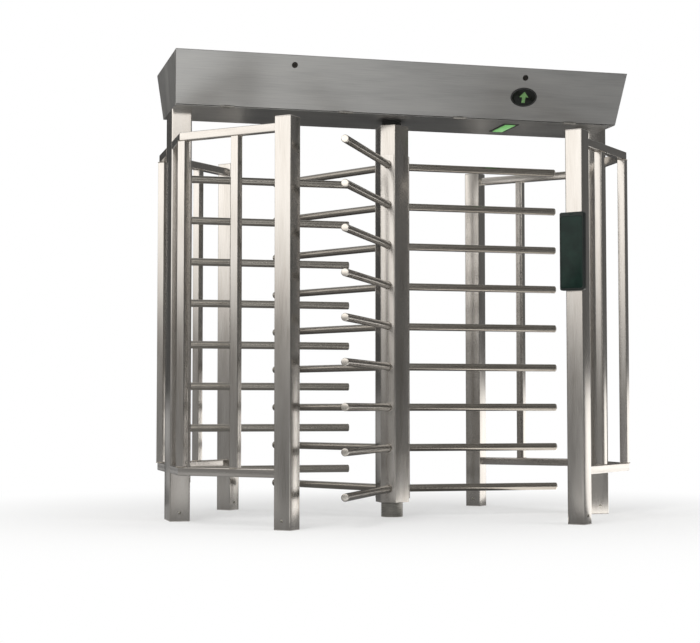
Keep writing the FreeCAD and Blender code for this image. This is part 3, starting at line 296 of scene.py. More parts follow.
# Cage rails
# Each side cage has a top and a bottom ring of 40 mm square tube, mitred at the corners, welded and
# ground flush, and screwed to the guard posts. They join the guard posts to the tall post.
RAIL_DEPTH = 40 * MM
RAIL_RADIUS = 4 * MM
RAIL_HEIGHT = 40 * MM
RAIL_WALL = 3 * MM
RAIL_BORE_RADIUS = 1 * MM
TALL_HALF_DEPTH = 95 * MM


def mitred_rings(path, side, rise, radius):
    """Section rings of a level tube that follows a path of (x, y) points, mitred where it turns."""
    outline = rounded(rectangle(side, rise), radius)
    points = [Vector((x, y, 0)) for x, y in path]
    runs = [(b - a).normalized() for a, b in zip(points, points[1:])]
    rings = []
    for i, point in enumerate(points):
        outs = [Vector((run.y, -run.x, 0)) for run in runs[max(i - 1, 0):i + 1]]
        bisector = sum(outs, Vector()).normalized()
        stretch = bisector.dot(outs[0])
        rings.append([point + bisector * (p.x / stretch) + Vector((0, 0, p.y)) for p in outline])
    return rings


for side, sx in (("left", -1), ("right", 1)):
    rail_low, rail_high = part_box(side + "_cage_rails")
    rail_heights = (rail_low.z + RAIL_HEIGHT / 2, rail_high.z - RAIL_HEIGHT / 2)
    rails = Shape()
    for z in rail_heights:
        for sy in (-1, 1):
            path = [(sx * (GUARD_X + GUARD_SIZE / 2 * math.cos(CAGE_ANGLE)),
                     sy * (GUARD_Y - GUARD_SIZE / 2 * math.sin(CAGE_ANGLE))),
                    (sx * CAGE_CORNER[0], sy * CAGE_CORNER[1]),
                    (sx * CAGE_CORNER[0], sy * TALL_HALF_DEPTH)]
            if sx * sy > 0:
                path.reverse()
            outer = mitred_rings(path, RAIL_DEPTH, RAIL_HEIGHT, RAIL_RADIUS)
            inner = mitred_rings(path, RAIL_DEPTH - 2 * RAIL_WALL, RAIL_HEIGHT - 2 * RAIL_WALL,
                                 RAIL_BORE_RADIUS)
            lift = Vector((0, 0, z))
            rails.skin([[p + lift for p in ring] for ring in outer + inner[::-1]], "loop")
    rails.piece("ground_rails_" + side, "frame", "brushed_stainless", stainless, [side + "_cage_rails"])


# Cage bars
# Upright 40 mm square tubes between the rails, one at each cage corner and one along each
# diagonal. They are welded at both ends with a small fillet bead.
BAR_SIZE = 40 * MM
BAR_RADIUS = 3 * MM
BAR_WALL = 2.5 * MM
MID_BAR_FROM_POST = 280 * MM

bar_low, bar_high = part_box("cage_bars")
bars = Shape()
bar_places = []
for _, sx, sy, facing in guard_places:
    corner = (sx * CAGE_CORNER[0], sy * CAGE_CORNER[1])
    middle = (sx * GUARD_X + MID_BAR_FROM_POST * math.cos(facing),
              sy * GUARD_Y + MID_BAR_FROM_POST * math.sin(facing))
    for x, y in (corner, middle):
        bar_places.append((x, y, facing))
        upright_tube(bars, rectangle(BAR_SIZE, BAR_SIZE), BAR_RADIUS, BAR_WALL, x, y,
                     bar_low.z, bar_high.z, facing)
bars.piece("ground_cage_bars", "frame", "brushed_stainless", stainless, ["cage_bars"])


# Weld beads of the frame
# A TIG bead runs round each cage bar's foot and head, and round each wing tube at its plate. The
# bead has fine ripples 2.5 mm apart and stays a little darker and rougher than the ground tube.
BEAD_RADIUS = 2.2 * MM
BEAD_RIPPLE = 2.5 * MM
RINGS_PER_RIPPLE = 2
BEAD_SWELL = 0.12
BEAD_SIDES = 6
BEAD_LEAST_RINGS = 24


def welded_bead():
    """TIG bead, brushed by hand: the heat leaves it straw to grey brown, with overlapping ripples."""
    material, tree, out = new_material("stainless_tig_weld_brushed")
    place = add_node(tree, "TexCoord").outputs["Object"]
    noise = add_node(tree, "TexNoise", values={"Scale": 1 / (4 * MM), "Detail": 3.0},
                     links={"Vector": place}).outputs["Fac"]
    colour = colour_ramp(tree, noise, [(0.35, "#8f867b"), (0.5, "#aaa298"), (0.65, "#c2bbb0")])
    finish(tree, out, colour, tone=noise, rough=(0.3, 0.48), relief=noise, bump=(0.2, 0.3 * MM), edge=None,
           values=METAL)
    return material


def bead(shape, path):
    """Rippled bead along a closed path of points."""
    sides = list(zip(path, path[1:] + path[:1]))
    length = sum((b - a).length for a, b in sides)
    count = max(BEAD_LEAST_RINGS, int(length / BEAD_RIPPLE * RINGS_PER_RIPPLE))
    dense = []
    step = length / count
    walked, target = 0.0, 0.0
    for a, b in sides:
        span = (b - a).length
        while target < walked + span and len(dense) < count:
            dense.append(a.lerp(b, (target - walked) / span))
            target += step
        walked += span
    centre = sum(dense, Vector()) / len(dense)
    normal = (dense[0] - centre).cross(dense[len(dense) // 4] - centre).normalized()
    rings = []
    for i, point in enumerate(dense):
        way = (dense[(i + 1) % len(dense)] - dense[i - 1]).normalized()
        out_way = way.cross(normal)
        size = BEAD_RADIUS * (1 + BEAD_SWELL if i % 2 else 1 - BEAD_SWELL)
        turns = [2 * math.pi * k / BEAD_SIDES for k in range(BEAD_SIDES)]
        rings.append([point + out_way * (size * math.cos(a)) + normal * (size * math.sin(a)) for a in turns])
    shape.skin(rings, "loop")


weld = welded_bead()
frame_beads = Shape()
for x, y, facing in bar_places:
    outline = rounded(rectangle(BAR_SIZE, BAR_SIZE), BAR_RADIUS)
    for z in (bar_low.z, bar_high.z):
        bead(frame_beads, upright_ring(outline, x, y, z, facing))
frame_beads.piece("cage_weld_beads", "frame", "brushed_stainless", weld)


# Fixed comb
# Eight round tubes on a flat bar that is bolted to the left tall post. Each tube is closed at its
# free end by a pressed cap with a rounded edge, ground flush. The tubes are paler than the wings'.
ARM_RADIUS = 19 * MM
ROUND_STEPS = 28
EDGE_STEPS = 4
END_EDGE = 3 * MM
NEAR_UPRIGHT = 0.9
COMB_ROWS = 8
COMB_LIGHT = "#bcb8b1"
COMB_DARK = "#ada9a2"
COMB_SCUFF = "#9d9992"


def rod_rings(start, end, stations, steps=ROUND_STEPS):
    """Rings of a turned bar between two points, from (distance from start, radius) stations."""
    axis = (end - start).normalized()
    side = axis.cross(Vector((0, 0, 1)) if abs(axis.z) < NEAR_UPRIGHT else Vector((1, 0, 0))).normalized()
    up = side.cross(axis)
    turns = [2 * math.pi * k / steps for k in range(steps)]
    rings = []
    for distance, radius in stations:
        centre = start + axis * distance
        rings.append([centre + side * (radius * math.cos(a)) - up * (radius * math.sin(a)) for a in turns])
    return rings


def eased(length, radius, edge):
    """Stations of a bar whose far end has a rounded edge."""
    stations = [(0, radius)]
    for step in range(EDGE_STEPS + 1):
        a = math.pi / 2 * step / EDGE_STEPS
        stations.append((length - edge + edge * math.sin(a), radius - edge + edge * math.cos(a)))
    return stations


comb_steel = ground_steel("stainless_tube_ground", (COMB_LIGHT, COMB_DARK, COMB_SCUFF),
                          roughness=0.24, line_mm=1.2, length_mm=70)
comb_low, comb_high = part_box("comb_bars")
comb_pitch = (comb_high.z - comb_low.z - 2 * ARM_RADIUS) / (COMB_ROWS - 1)
comb = Shape()
for row in range(COMB_ROWS):
    z = comb_low.z + ARM_RADIUS + row * comb_pitch
    start, end = Vector((comb_low.x, 0, z)), Vector((comb_high.x, 0, z))
    comb.skin(rod_rings(start, end, eased((end - start).length, ARM_RADIUS, END_EDGE)), "closed")
comb.piece("satin_comb_bars", "frame", "arm_stainless", comb_steel, ["comb_bars"])


# Frame screws
# M8 button-head screws with a hexagon socket hold the post shoes, rails, comb bar, hood and
# bearing housing. They are zinc plated, and the socket shows as a small dark hexagon.
HEAD_RADIUS = 7 * MM
HEAD_HEIGHT = 3.6 * MM
HEAD_UPRIGHT_SHARE = 0.25
HEAD_STEPS = 4
HEAD_SIDES = 24
SOCKET_RADIUS = 2.9 * MM
SOCKET_DEPTH = 2.2 * MM
SOCKET_RIM_RADIUS = SOCKET_RADIUS * 1.25
FOOT_SCREW_Z = 42 * MM
STILE_SCREW_ROWS = (0.5, 2.5, 4.5, 6.5)
HOOD_BOLT_X = 1105 * MM
HOOD_BOLT_SPREAD = (25 * MM, 47.5 * MM)
HOUSING_BOLT_RADIUS = 49 * MM


def plated_steel(name, stops, grain_mm, roughness):
    """Plated metal. The plating is dull and slightly cloudy, with a spangle of paler and darker
    patches a few millimetres across."""
    material, tree, out = new_material(name)
    place = add_node(tree, "TexCoord").outputs["Object"]
    cloud = add_node(tree, "TexNoise", values={"Scale": 1 / (grain_mm * MM), "Detail": 4.0},
                     links={"Vector": place}).outputs["Fac"]
    finish(tree, out, colour_ramp(tree, cloud, stops), tone=cloud, rough=(roughness - 0.06, roughness + 0.1),
           relief=cloud, bump=(0.08, 0.2 * MM), edge=0.6 * MM, values=METAL)
    return material


def socket_hexagon(ring, centre):
    """Six-sided ring of points inside a round one."""
    hexagon = []
    for k, point in enumerate(ring):
        from_flat = (k * 360 / len(ring)) % 60 - 30
        reach = SOCKET_RADIUS * math.cos(math.pi / 6) / math.cos(math.radians(from_flat))
        hexagon.append(centre + (point - centre).normalized() * reach)
    return hexagon


def button_head(shape, seat, out_way):
    """Domed head with a hexagon socket, standing on a face."""
    stations = [(0, HEAD_RADIUS)]
    for step in range(HEAD_STEPS + 1):
        a = math.pi / 2 * step / HEAD_STEPS
        stations.append((HEAD_HEIGHT * (HEAD_UPRIGHT_SHARE + (1 - HEAD_UPRIGHT_SHARE) * math.sin(a)),
                         SOCKET_RIM_RADIUS + (HEAD_RADIUS - SOCKET_RIM_RADIUS) * math.cos(a)))
    rings = rod_rings(seat, seat + out_way, stations, HEAD_SIDES)
    hexagon = socket_hexagon(rings[-1], seat + out_way * HEAD_HEIGHT)
    rings += [hexagon, [point - out_way * SOCKET_DEPTH for point in hexagon]]
    shape.skin(rings, "closed")


zinc = plated_steel("steel_zinc_plated", [(0.3, "#8d8c86"), (0.5, "#b3b1a8"), (0.7, "#cfccc2")],
                    grain_mm=5, roughness=0.34)
screws = Shape()
for side in ("left", "right"):
    low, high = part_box("tall_post_" + side)
    for y, way in ((low.y, -1), (high.y, 1)):
        button_head(screws, Vector(((low.x + high.x) / 2, y, FOOT_SCREW_Z)), Vector((0, way, 0)))
for _, sx, sy, facing in guard_places:
    for turn in (math.pi / 2, -math.pi / 2):
        out_way = Vector((math.cos(facing + turn), math.sin(facing + turn), 0))
        seat = Vector((sx * GUARD_X, sy * GUARD_Y, FOOT_SCREW_Z)) + out_way * (GUARD_SIZE / 2)
        button_head(screws, seat, out_way)
stile_low, stile_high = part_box("comb_stile")
for row in STILE_SCREW_ROWS:
    z = comb_high.z - ARM_RADIUS - row * comb_pitch
    button_head(screws, Vector((stile_high.x, 0, z)), Vector((1, 0, 0)))
up = Vector((0, 0, 1))
soffit_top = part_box("hood_soffit")[1].z
for sx in (-1, 1):
    for dx, dy in ((-1, -1), (1, -1), (-1, 1), (1, 1)):
        seat = Vector((sx * HOOD_BOLT_X + dx * HOOD_BOLT_SPREAD[0], dy * HOOD_BOLT_SPREAD[1], soffit_top))
        button_head(screws, seat, up)
housing_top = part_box("bearing_housing")[1].z
for turn in range(4):
    a = math.radians(45 + 90 * turn)
    seat = Vector((HOUSING_BOLT_RADIUS * math.cos(a), HOUSING_BOLT_RADIUS * math.sin(a), housing_top))
    button_head(screws, seat, up)
for _, sx, sy, facing in guard_places:
    out_way = Vector((math.cos(facing), math.sin(facing), 0))
    for z in rail_heights:
        seat = Vector((sx * GUARD_X, sy * GUARD_Y, z)) + out_way * (GUARD_SIZE / 2 - WALL)
        button_head(screws, seat, -out_way)
screws.piece("frame_screw_heads", "frame", "zinc_plated_steel", zinc, ["frame_bolts"])


# Comb stile
# A flat bar 12 mm thick with ground edges, bolted to the tall post. The eight comb tubes are
# welded to its face.
STILE_EDGE = 1.5 * MM

stile = Shape()
stile_outline = rounded(rectangle(stile_high.x - stile_low.x, stile_high.y - stile_low.y), STILE_EDGE)
stile_x = (stile_low.x + stile_high.x) / 2
stile.skin([upright_ring(stile_outline, stile_x, 0, z) for z in (stile_low.z, stile_high.z)], "closed")
stile.piece("ground_comb_stile", "frame", "brushed_stainless", stainless, ["comb_stile"])


# Rotor column
# A six-sided column folded and welded from 4 mm plate: a narrow face behind each wing and a wide
# face between two wings. It is ground along its length, and its edges are rounded.
NARROW_DISTANCE = 80 * MM
NARROW_WIDTH = 76 * MM
COLUMN_RADIUS = 5 * MM
COLUMN_BORE_RADIUS = 1 * MM
WING_ANGLES = [math.radians(120 * wing) for wing in range(3)]


def column_corners(inset):
    """Corners of the column's outline, moved inward by inset."""
    wide = NARROW_DISTANCE * math.cos(math.pi / 3) + NARROW_WIDTH / 2 * math.sin(math.pi / 3) - inset
    x = NARROW_DISTANCE - inset
    y = (wide - x * math.cos(math.pi / 3)) / math.sin(math.pi / 3)
    return [(x * math.cos(a) - side * math.sin(a), x * math.sin(a) + side * math.cos(a))
            for a in WING_ANGLES for side in (-y, y)]


column_low, column_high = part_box("rotor_column")
column = Shape()
outer = rounded(column_corners(0), COLUMN_RADIUS)
inner = rounded(column_corners(WALL), COLUMN_BORE_RADIUS)
column.skin([upright_ring(outer, 0, 0, column_low.z), upright_ring(outer, 0, 0, column_high.z),
             upright_ring(inner, 0, 0, column_high.z), upright_ring(inner, 0, 0, column_low.z)], "loop")
column.piece("ground_rotor_column", "rotor", "brushed_stainless", stainless, ["rotor_column"])


# Wings
# Three wings of nine 38 mm tubes, 207 mm apart. Each tube is butt welded to a flat plate on the
# column's narrow face, and its outer end is closed by a bright turned plug with a rounded edge.
WING_PLATE_THICK = 6 * MM
WING_PLATE_WIDTH = 68 * MM
WING_ROWS = 9
WING_RADIUS = 900 * MM
ARM_END_EDGE = 0.4 * MM
BEAD_OFFSET = 0.5 * MM
PLUG_LENGTH = 6 * MM
PLUG_EDGE = 4 * MM
ARM_LIGHT = "#9f9b94"
ARM_DARK = "#908b84"
ARM_SCUFF = "#807b75"
PLUG_LIGHT = "#ece8e2"
PLUG_DARK = "#d6d1c9"

arm_steel = ground_steel("stainless_tube_satin_polished", (ARM_LIGHT, ARM_DARK, ARM_SCUFF),
                         roughness=0.24, line_mm=1.2, length_mm=70)
plug_steel = ground_steel("stainless_plug_turned_bright", (PLUG_LIGHT, PLUG_DARK, STEEL_DARK),
                          roughness=0.24, line_mm=0.8, length_mm=8)
plate_low, plate_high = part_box("wing_plates")
arm_low, arm_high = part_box("wing_a_arms")
arm_rows = [arm_low.z + ARM_RADIUS + row * (arm_high.z - arm_low.z - 2 * ARM_RADIUS) / (WING_ROWS - 1)
            for row in range(WING_ROWS)]
plates, plugs, rotor_beads = Shape(), Shape(), Shape()
arm_root = NARROW_DISTANCE + WING_PLATE_THICK
arm_length = WING_RADIUS - PLUG_LENGTH - arm_root
arm_stations = [(0, ARM_RADIUS), (arm_length - ARM_END_EDGE, ARM_RADIUS),
                (arm_length, ARM_RADIUS - ARM_END_EDGE)]
for letter, angle in zip("abc", WING_ANGLES):
    way = Vector((math.cos(angle), math.sin(angle), 0))
    outline = rounded(rectangle(WING_PLATE_THICK, WING_PLATE_WIDTH), STILE_EDGE)
    centre = way * (NARROW_DISTANCE + WING_PLATE_THICK / 2)
    plates.skin([upright_ring(outline, centre.x, centre.y, z, angle)
                 for z in (plate_low.z, plate_high.z)], "closed")
    arms = Shape()
    for z in arm_rows:
        lift = Vector((0, 0, z))
        root, tip = way * arm_root + lift, way * WING_RADIUS + lift
        arms.skin(rod_rings(root, tip, arm_stations), "closed")
        plugs.skin(rod_rings(way * (WING_RADIUS - PLUG_LENGTH) + lift, tip,
                             eased(PLUG_LENGTH, ARM_RADIUS, PLUG_EDGE)), "closed")
        bead(rotor_beads, rod_rings(root, tip, [(BEAD_OFFSET, ARM_RADIUS)])[0])
    arms.piece("satin_arms_" + letter, "rotor", "arm_stainless", arm_steel, ["wing_%s_arms" % letter])
plates.piece("ground_wing_plates", "rotor", "brushed_stainless", stainless, ["wing_plates"])
plugs.piece("bright_arm_plugs", "rotor", "cap_steel", plug_steel, ["arm_caps"])
rotor_beads.piece("wing_weld_beads", "rotor", "brushed_stainless", weld)


# Floor pivot and shafts
# The column turns on a spindle in a bronze bush, in a round steel base that is bolted to the
# floor. The base, the spindle and the upper shaft are turned from bar, with fine tool marks.
MARK_SPREAD = 40 * MM


def turned_steel(name, stops, roughness, mark_mm):
    """Machined metal with a film of oil. Fine tool marks make it a little darker and shinier than
    the ground stainless, with a faint cloudy stain."""
    material, tree, out = new_material(name)
    place = add_node(tree, "TexCoord").outputs["Object"]
    scale = (1 / MARK_SPREAD, 1 / MARK_SPREAD, 1 / (mark_mm * MM))
    marks = add_node(tree, "Mapping", values={"Scale": scale}, links={"Vector": place})
    mark = add_node(tree, "TexNoise", values={"Scale": 1.0, "Detail": 2.0},
                    links={"Vector": marks.outputs["Vector"]}).outputs["Fac"]
    finish(tree, out, colour_ramp(tree, mark, stops), tone=mark, rough=(roughness - 0.05, roughness + 0.08),
           relief=mark, bump=(0.1, 0.1 * MM), edge=0.8 * MM, values=METAL)
    return material


def dress(material, slot, *names):
    """Give carried-over nodes their finish."""
    for name in names:
        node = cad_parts[name]
        node.data.materials.clear()
        node.data.materials.append(material)


machined = turned_steel("steel_machined_oiled", [(0.3, "#8b8985"), (0.5, "#a5a39e"), (0.7, "#bdbab4")],
                        roughness=0.3, mark_mm=0.9)
bronze = turned_steel("bronze_bush_turned", [(0.3, "#a3803f"), (0.5, "#bd9a55"), (0.7, "#d2b26c")],
                      roughness=0.32, mark_mm=0.9)
dress(machined, "machined_steel", "pivot_base", "pivot_spindle", "rotor_shaft", "post_shoes", "top_bearing",
      "lock_disc", "damper_gear", "damper_pinion", "pawl_pins", "pawl_springs", "lock_pawl_entry",
      "lock_pawl_exit", "plunger_entry", "plunger_exit", "hinge_knuckles_fixed", "hinge_knuckles_moving")
dress(bronze, "bearing_bronze", "pivot_bearing")


# Hood panels
# Soffit, rear, top, two ends and the front cover, all folded from 2.5 mm stainless sheet with a
# satin finish that runs along the hood and up its ends. The ends and long faces lean outward.
HOOD_LIGHT = "#c6c6c4"
HOOD_DARK = "#bcbcbb"
HOOD_SCUFF = "#b0b0af"

long_panels = ("hood_top_panel", "hood_rear_panel", "hood_soffit", "hood_front_cover")
for name, run, panels in (("stainless_sheet_satin", "X", long_panels),
                          ("stainless_sheet_satin_ends", "Z", ("hood_end_panels",))):
    satin = ground_steel(name, (HOOD_LIGHT, HOOD_DARK, HOOD_SCUFF), roughness=0.34, line_mm=2.2,
                         length_mm=160, along=run)
    dress(satin, "hood_stainless", *panels)
dress(zinc, "zinc_plated_steel", "hood_beams", "hood_ribs", "mechanism_plate", "lock_keepers")


# Hood screws
# Eight M8 countersunk screws with a hexagon socket hold the top panel to the ribs. Each lies flush
# in the sheet, with a fine bevel round its head.
HOOD_SCREW_RADIUS = 8 * MM
HOOD_SCREW_PLAY = 0.2 * MM
HOOD_SCREW_SINK = 0.1 * MM
HOOD_SCREW_BEVEL = 0.5 * MM
HOOD_SOCKET_SHARE = 0.7
HOOD_SCREW_X = (300 * MM, 1100 * MM)

screw_low, screw_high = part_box("hood_screws")
head = screw_high.z - screw_low.z
face_radius = HOOD_SCREW_RADIUS - HOOD_SCREW_PLAY
screw_stations = [(0, face_radius), (head - HOOD_SCREW_BEVEL, face_radius),
                  (head - HOOD_SCREW_SINK, face_radius - HOOD_SCREW_BEVEL)]
hood_screws = Shape()
for sx in (-1, 1):
    for x in HOOD_SCREW_X:
        for y in (screw_low.y + HOOD_SCREW_RADIUS, screw_high.y - HOOD_SCREW_RADIUS):
            foot = Vector((sx * x, y, screw_low.z))
            rings = rod_rings(foot, foot + up, screw_stations, HEAD_SIDES)
            hexagon = socket_hexagon(rings[-1], foot + up * (head - HOOD_SCREW_SINK))
            rings += [hexagon, [point - up * (head * HOOD_SOCKET_SHARE) for point in hexagon]]
            hood_screws.skin(rings, "closed")
hood_screws.piece("hood_countersunk_screws", "frame", "zinc_plated_steel", zinc, ["hood_screws"])


# Castings, cases and seal
# The bearing housing and the damper are iron castings under dark grey enamel, the controller case
# is powder coated, the solenoids are lacquered and the shaft seal is moulded rubber.
COAT_CLOUD = 60 * MM


def coated(name, stops, grain_mm, roughness, bump_mm, ior=1.5, gloss=0.5):
    """Paint, lacquer, moulded plastic or rubber: even colour with a slight cloud, and a fine skin
    texture that breaks up the highlight."""
    material, tree, out = new_material(name)
    place = add_node(tree, "TexCoord").outputs["Object"]
    cloud, skin = [add_node(tree, "TexNoise", values={"Scale": 1 / size, "Detail": detail},
                            links={"Vector": place}).outputs["Fac"]
                   for size, detail in ((COAT_CLOUD, 4.0), (grain_mm * MM, 3.0))]
    finish(tree, out, colour_ramp(tree, cloud, stops), tone=skin,
           rough=(roughness - 0.05, roughness + 0.06), relief=skin, bump=(0.3, bump_mm * MM), edge=0.8 * MM,
           values={"IOR": ior, "Specular IOR Level": gloss})
    return material


enamel = coated("cast_iron_enamelled", [(0.3, "#3c3d40"), (0.7, "#4c4d50")],
                grain_mm=3, roughness=0.42, bump_mm=0.3)
powder = coated("steel_powder_coated_grey", [(0.3, "#c4c6c5"), (0.7, "#d0d1d0")],
                grain_mm=1.2, roughness=0.45, bump_mm=0.1)
lacquer = coated("solenoid_lacquered_black", [(0.3, "#1c1c1e"), (0.7, "#2b2b2d")],
                 grain_mm=2, roughness=0.3, bump_mm=0.05)
rubber = coated("nitrile_rubber_moulded", [(0.3, "#1d1d1d"), (0.7, "#2a2a2a")],
                grain_mm=1.5, roughness=0.62, bump_mm=0.1, ior=1.52)
dress(enamel, "cast_base", "bearing_housing", "damper_body")
dress(powder, "control_case", "control_box")
dress(lacquer, "solenoid_case", "lock_solenoids")
dress(rubber, "seal_rubber", "shaft_seal")


# Cover locks
# Two cam locks hold the front cover shut. Each barrel is die cast and plated in black nickel, with
# a rounded flange on the cover's face, and its plug has a keyway.
HOOD_UNDERSIDE = 2030 * MM
HOOD_HALF_DEPTH = 215 * MM
HOOD_SLOPE = 120 / 250
LOCK_PLACES = ((-583 * MM, 2234 * MM), (621 * MM, 2234 * MM))
LOCK_PROFILE = ((-22, 9), (0, 9), (0, 15), (1.1, 14.9), (2.3, 13.9), (2.9, 12.2), (3, 7.6), (2.5, 6.1),
                (-22, 6.1))
LOCK_SIDES = 40


def on_hood_face(x, z):
    """Point on the cover's slanted face, and the directions along, up and out of it."""
    centre = Vector((x, -HOOD_HALF_DEPTH - HOOD_SLOPE * (z - HOOD_UNDERSIDE), z))
    up_slope = Vector((0, -HOOD_SLOPE, 1)).normalized()
    return centre, Vector((1, 0, 0)), up_slope, Vector((0, -1, -HOOD_SLOPE)).normalized()


nickel = plated_steel("zinc_die_cast_black_nickel", [(0.3, "#2f2d2b"), (0.5, "#3d3b38"), (0.7, "#4b4845")],
                      grain_mm=6, roughness=0.25)
lock_stations = [(height * MM, radius * MM) for height, radius in LOCK_PROFILE]
barrels = Shape()
for x, z in LOCK_PLACES:
    centre, _, _, out_way = on_hood_face(x, z)
    barrels.skin(rod_rings(centre, centre + out_way, lock_stations, LOCK_SIDES), "loop")
barrels.piece("cam_lock_barrels", "cover", "nickel_lock", nickel, ["lock_barrels"])
dress(nickel, "nickel_lock", "lock_plug_left", "lock_plug_right")


# Passage indicator
# An oval window in the front cover. A black moulded bezel with a rounded rim holds a smoked
# acrylic lens, and a plain arrow behind the lens is lit green when the way is free.
INDICATOR_PLACE = (627 * MM, 2143 * MM)
INDICATOR_SIZE = (142 * MM, 100 * MM)
BEZEL_PROFILE = ((0, 0), (0, 2.2), (0.8, 3.9), (2.4, 4.9), (4.4, 4.9), (6.6, 3.8), (8, 2.7), (8, -20),
                 (6, -20), (6, 0))
LENS_INSET = 8.15
LENS_PROFILE = ((0, -5), (0, 0.9), (0.6, 1.5), (4, 1.9), (12, 2.2), (24, 2.4), (36, 2.45))
ARROW_OUTLINE = ((-9, -29), (9, -29), (9, 0), (25, 0), (0, 29), (-25, 0), (-9, 0))
ARROW_DEPTH = (2.0, 2.9)
OVAL_STEPS = 72


def face_ring(points, height):
    """Ring on the indicator's face, from (along, up) points in metres, at a height in mm."""
    centre, along, up_slope, out_way = on_hood_face(*INDICATOR_PLACE)
    return [centre + along * x + up_slope * y + out_way * (height * MM) for x, y in points]


def oval_ring(inset, height):
    """Ring of points inside the bezel's outline."""
    half_width, half_height = [side / 2 - inset * MM for side in INDICATOR_SIZE]
    turns = [2 * math.pi * k / OVAL_STEPS for k in range(OVAL_STEPS)]
    return face_ring([(half_width * math.cos(a), half_height * math.sin(a)) for a in turns], height)


def lit_plastic(name, base, stops, cloud_mm, roughness, ior, strength):
    """Plastic lit from behind: a dull and fairly even glow with a soft cloud, under a slight gloss."""
    material, tree, out = new_material(name)
    place = add_node(tree, "TexCoord").outputs["Object"]
    cloud = add_node(tree, "TexNoise", values={"Scale": 1 / (cloud_mm * MM), "Detail": 2.0},
                     links={"Vector": place})
    light = colour_ramp(tree, cloud.outputs["Fac"], stops)
    values = {"Base Color": linear(base), "Roughness": roughness, "IOR": ior, "Emission Strength": strength}
    shader = add_node(tree, "BsdfPrincipled", values=values, links={"Emission Color": light})
    tree.links.new(shader.outputs["BSDF"], out.inputs["Surface"])
    return material


acrylic = coated("acrylic_smoked_polished", [(0.3, "#060a07"), (0.7, "#0a110b")],
                 grain_mm=30, roughness=0.09, bump_mm=0.01, ior=1.49)
abs_black = coated("abs_moulded_fine_texture", [(0.3, "#171817"), (0.7, "#212221")],
                   grain_mm=0.9, roughness=0.4, bump_mm=0.08, ior=1.54)
# The film is translucent and shows through smoked acrylic, so its green is dull. Its mesh stands
# just proud of the lens, so that it can be seen.
film = lit_plastic("film_translucent_lit_green", "#10150e", [(0.35, "#527548"), (0.65, "#6d935d")],
                   cloud_mm=9, roughness=0.12, ior=1.49, strength=0.9)
bezel = Shape().skin([oval_ring(inset, height) for inset, height in BEZEL_PROFILE], "loop")
bezel.piece("indicator_rounded_bezel", "cover", "black_plastic", abs_black, ["indicator_bezel"])
lens = Shape().skin([oval_ring(LENS_INSET + inset, height) for inset, height in LENS_PROFILE], "closed")
lens.piece("indicator_domed_lens", "cover", "indicator_glass", acrylic, ["indicator_lens"])
arrow_points = [(x * MM, y * MM) for x, y in ARROW_OUTLINE]
arrow = Shape().skin([face_ring(arrow_points, height) for height in ARROW_DEPTH], "closed")
arrow.piece("indicator_arrow", "cover", "indicator_glass", film)


# Passage lamp
# A sealed lamp runs across the soffit and lights the lane green. Its lens is opal polycarbonate
# with half-round ribs that spread the light, in a black moulded rim.
RIB_PITCH = 6 * MM
RIB_DEPTH = 1.4 * MM
RIB_POINTS = 6
LAMP_CORNER = 2.5 * MM
LAMP_CORNER_CUT = 0.3

# Opal polycarbonate scatters the light, so the lens glows softly, in uneven patches of green.
green_lens = lit_plastic("polycarbonate_opal_ribbed_lit", "#5f9a58", [(0.3, "#6cae60"), (0.7, "#86c77a")],
                         cloud_mm=45, roughness=0.28, ior=1.58, strength=0.55)
low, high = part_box("passage_lamp_lens")
section_count = int((high.y - low.y) / RIB_PITCH) * RIB_POINTS
rings = []
for i in range(section_count + 1):
    y = low.y + (high.y - low.y) * i / section_count
    bottom = low.z + RIB_DEPTH * abs(math.cos(math.pi * i / RIB_POINTS))
    cut = LAMP_CORNER * LAMP_CORNER_CUT
    edge = [(0, high.z), (0, bottom + LAMP_CORNER), (cut, bottom + cut), (LAMP_CORNER, bottom)]
    outline = [(low.x + x, z) for x, z in edge] + [(high.x - x, z) for x, z in reversed(edge)]
    rings.append([Vector((x, y, z)) for x, z in outline])
lamp_lens = Shape().skin(rings, "closed")
lamp_lens.piece("lamp_ribbed_lens", "frame", "lamp_lens", green_lens, ["passage_lamp_lens"])
dress(abs_black, "black_plastic", "passage_lamp")


# Card reader
# A shallow moulded casing on the entry face of the right guard post, with softened edges, a small
# status light and a dark green-black window in a narrow step. The window has an anti-reflection
# coat, so it shows only a faint image of the room.
READER_CENTRE_Z = 1302.5 * MM
READER_SIZE = (124 * MM, 375 * MM)
READER_CORNER = 10 * MM
READER_LEAST_CORNER = 1 * MM
READER_CORNER_STEPS = 6
SIDE_PER_CORNER = 2.1
WINDOW_SIZE = (112 * MM, 345 * MM)
WINDOW_SHIFT = -5 * MM
STATUS_SIZE = (22 * MM, 5 * MM)
STATUS_SHIFT = 177.5 * MM
READER_PROFILE = ((44, 0.4), (44.6, 0), (70, 0), (71.8, 0.5), (73.1, 1.6), (73.8, 3.2), (74, 5.2))
WINDOW_STEP_PROFILE = ((74, -0.4), (71, -0.4))
PANE_PROFILE = ((71.1, 0.2), (73, 0.2), (73.6, 0.7), (73.8, 1.6))
STATUS_PROFILE = ((73.5, 0), (74, 0), (74.3, 0.5))

# The front right guard post's own angle, turned a quarter to its entry face.
reader_angle = guard_places[1][3] + math.pi / 2


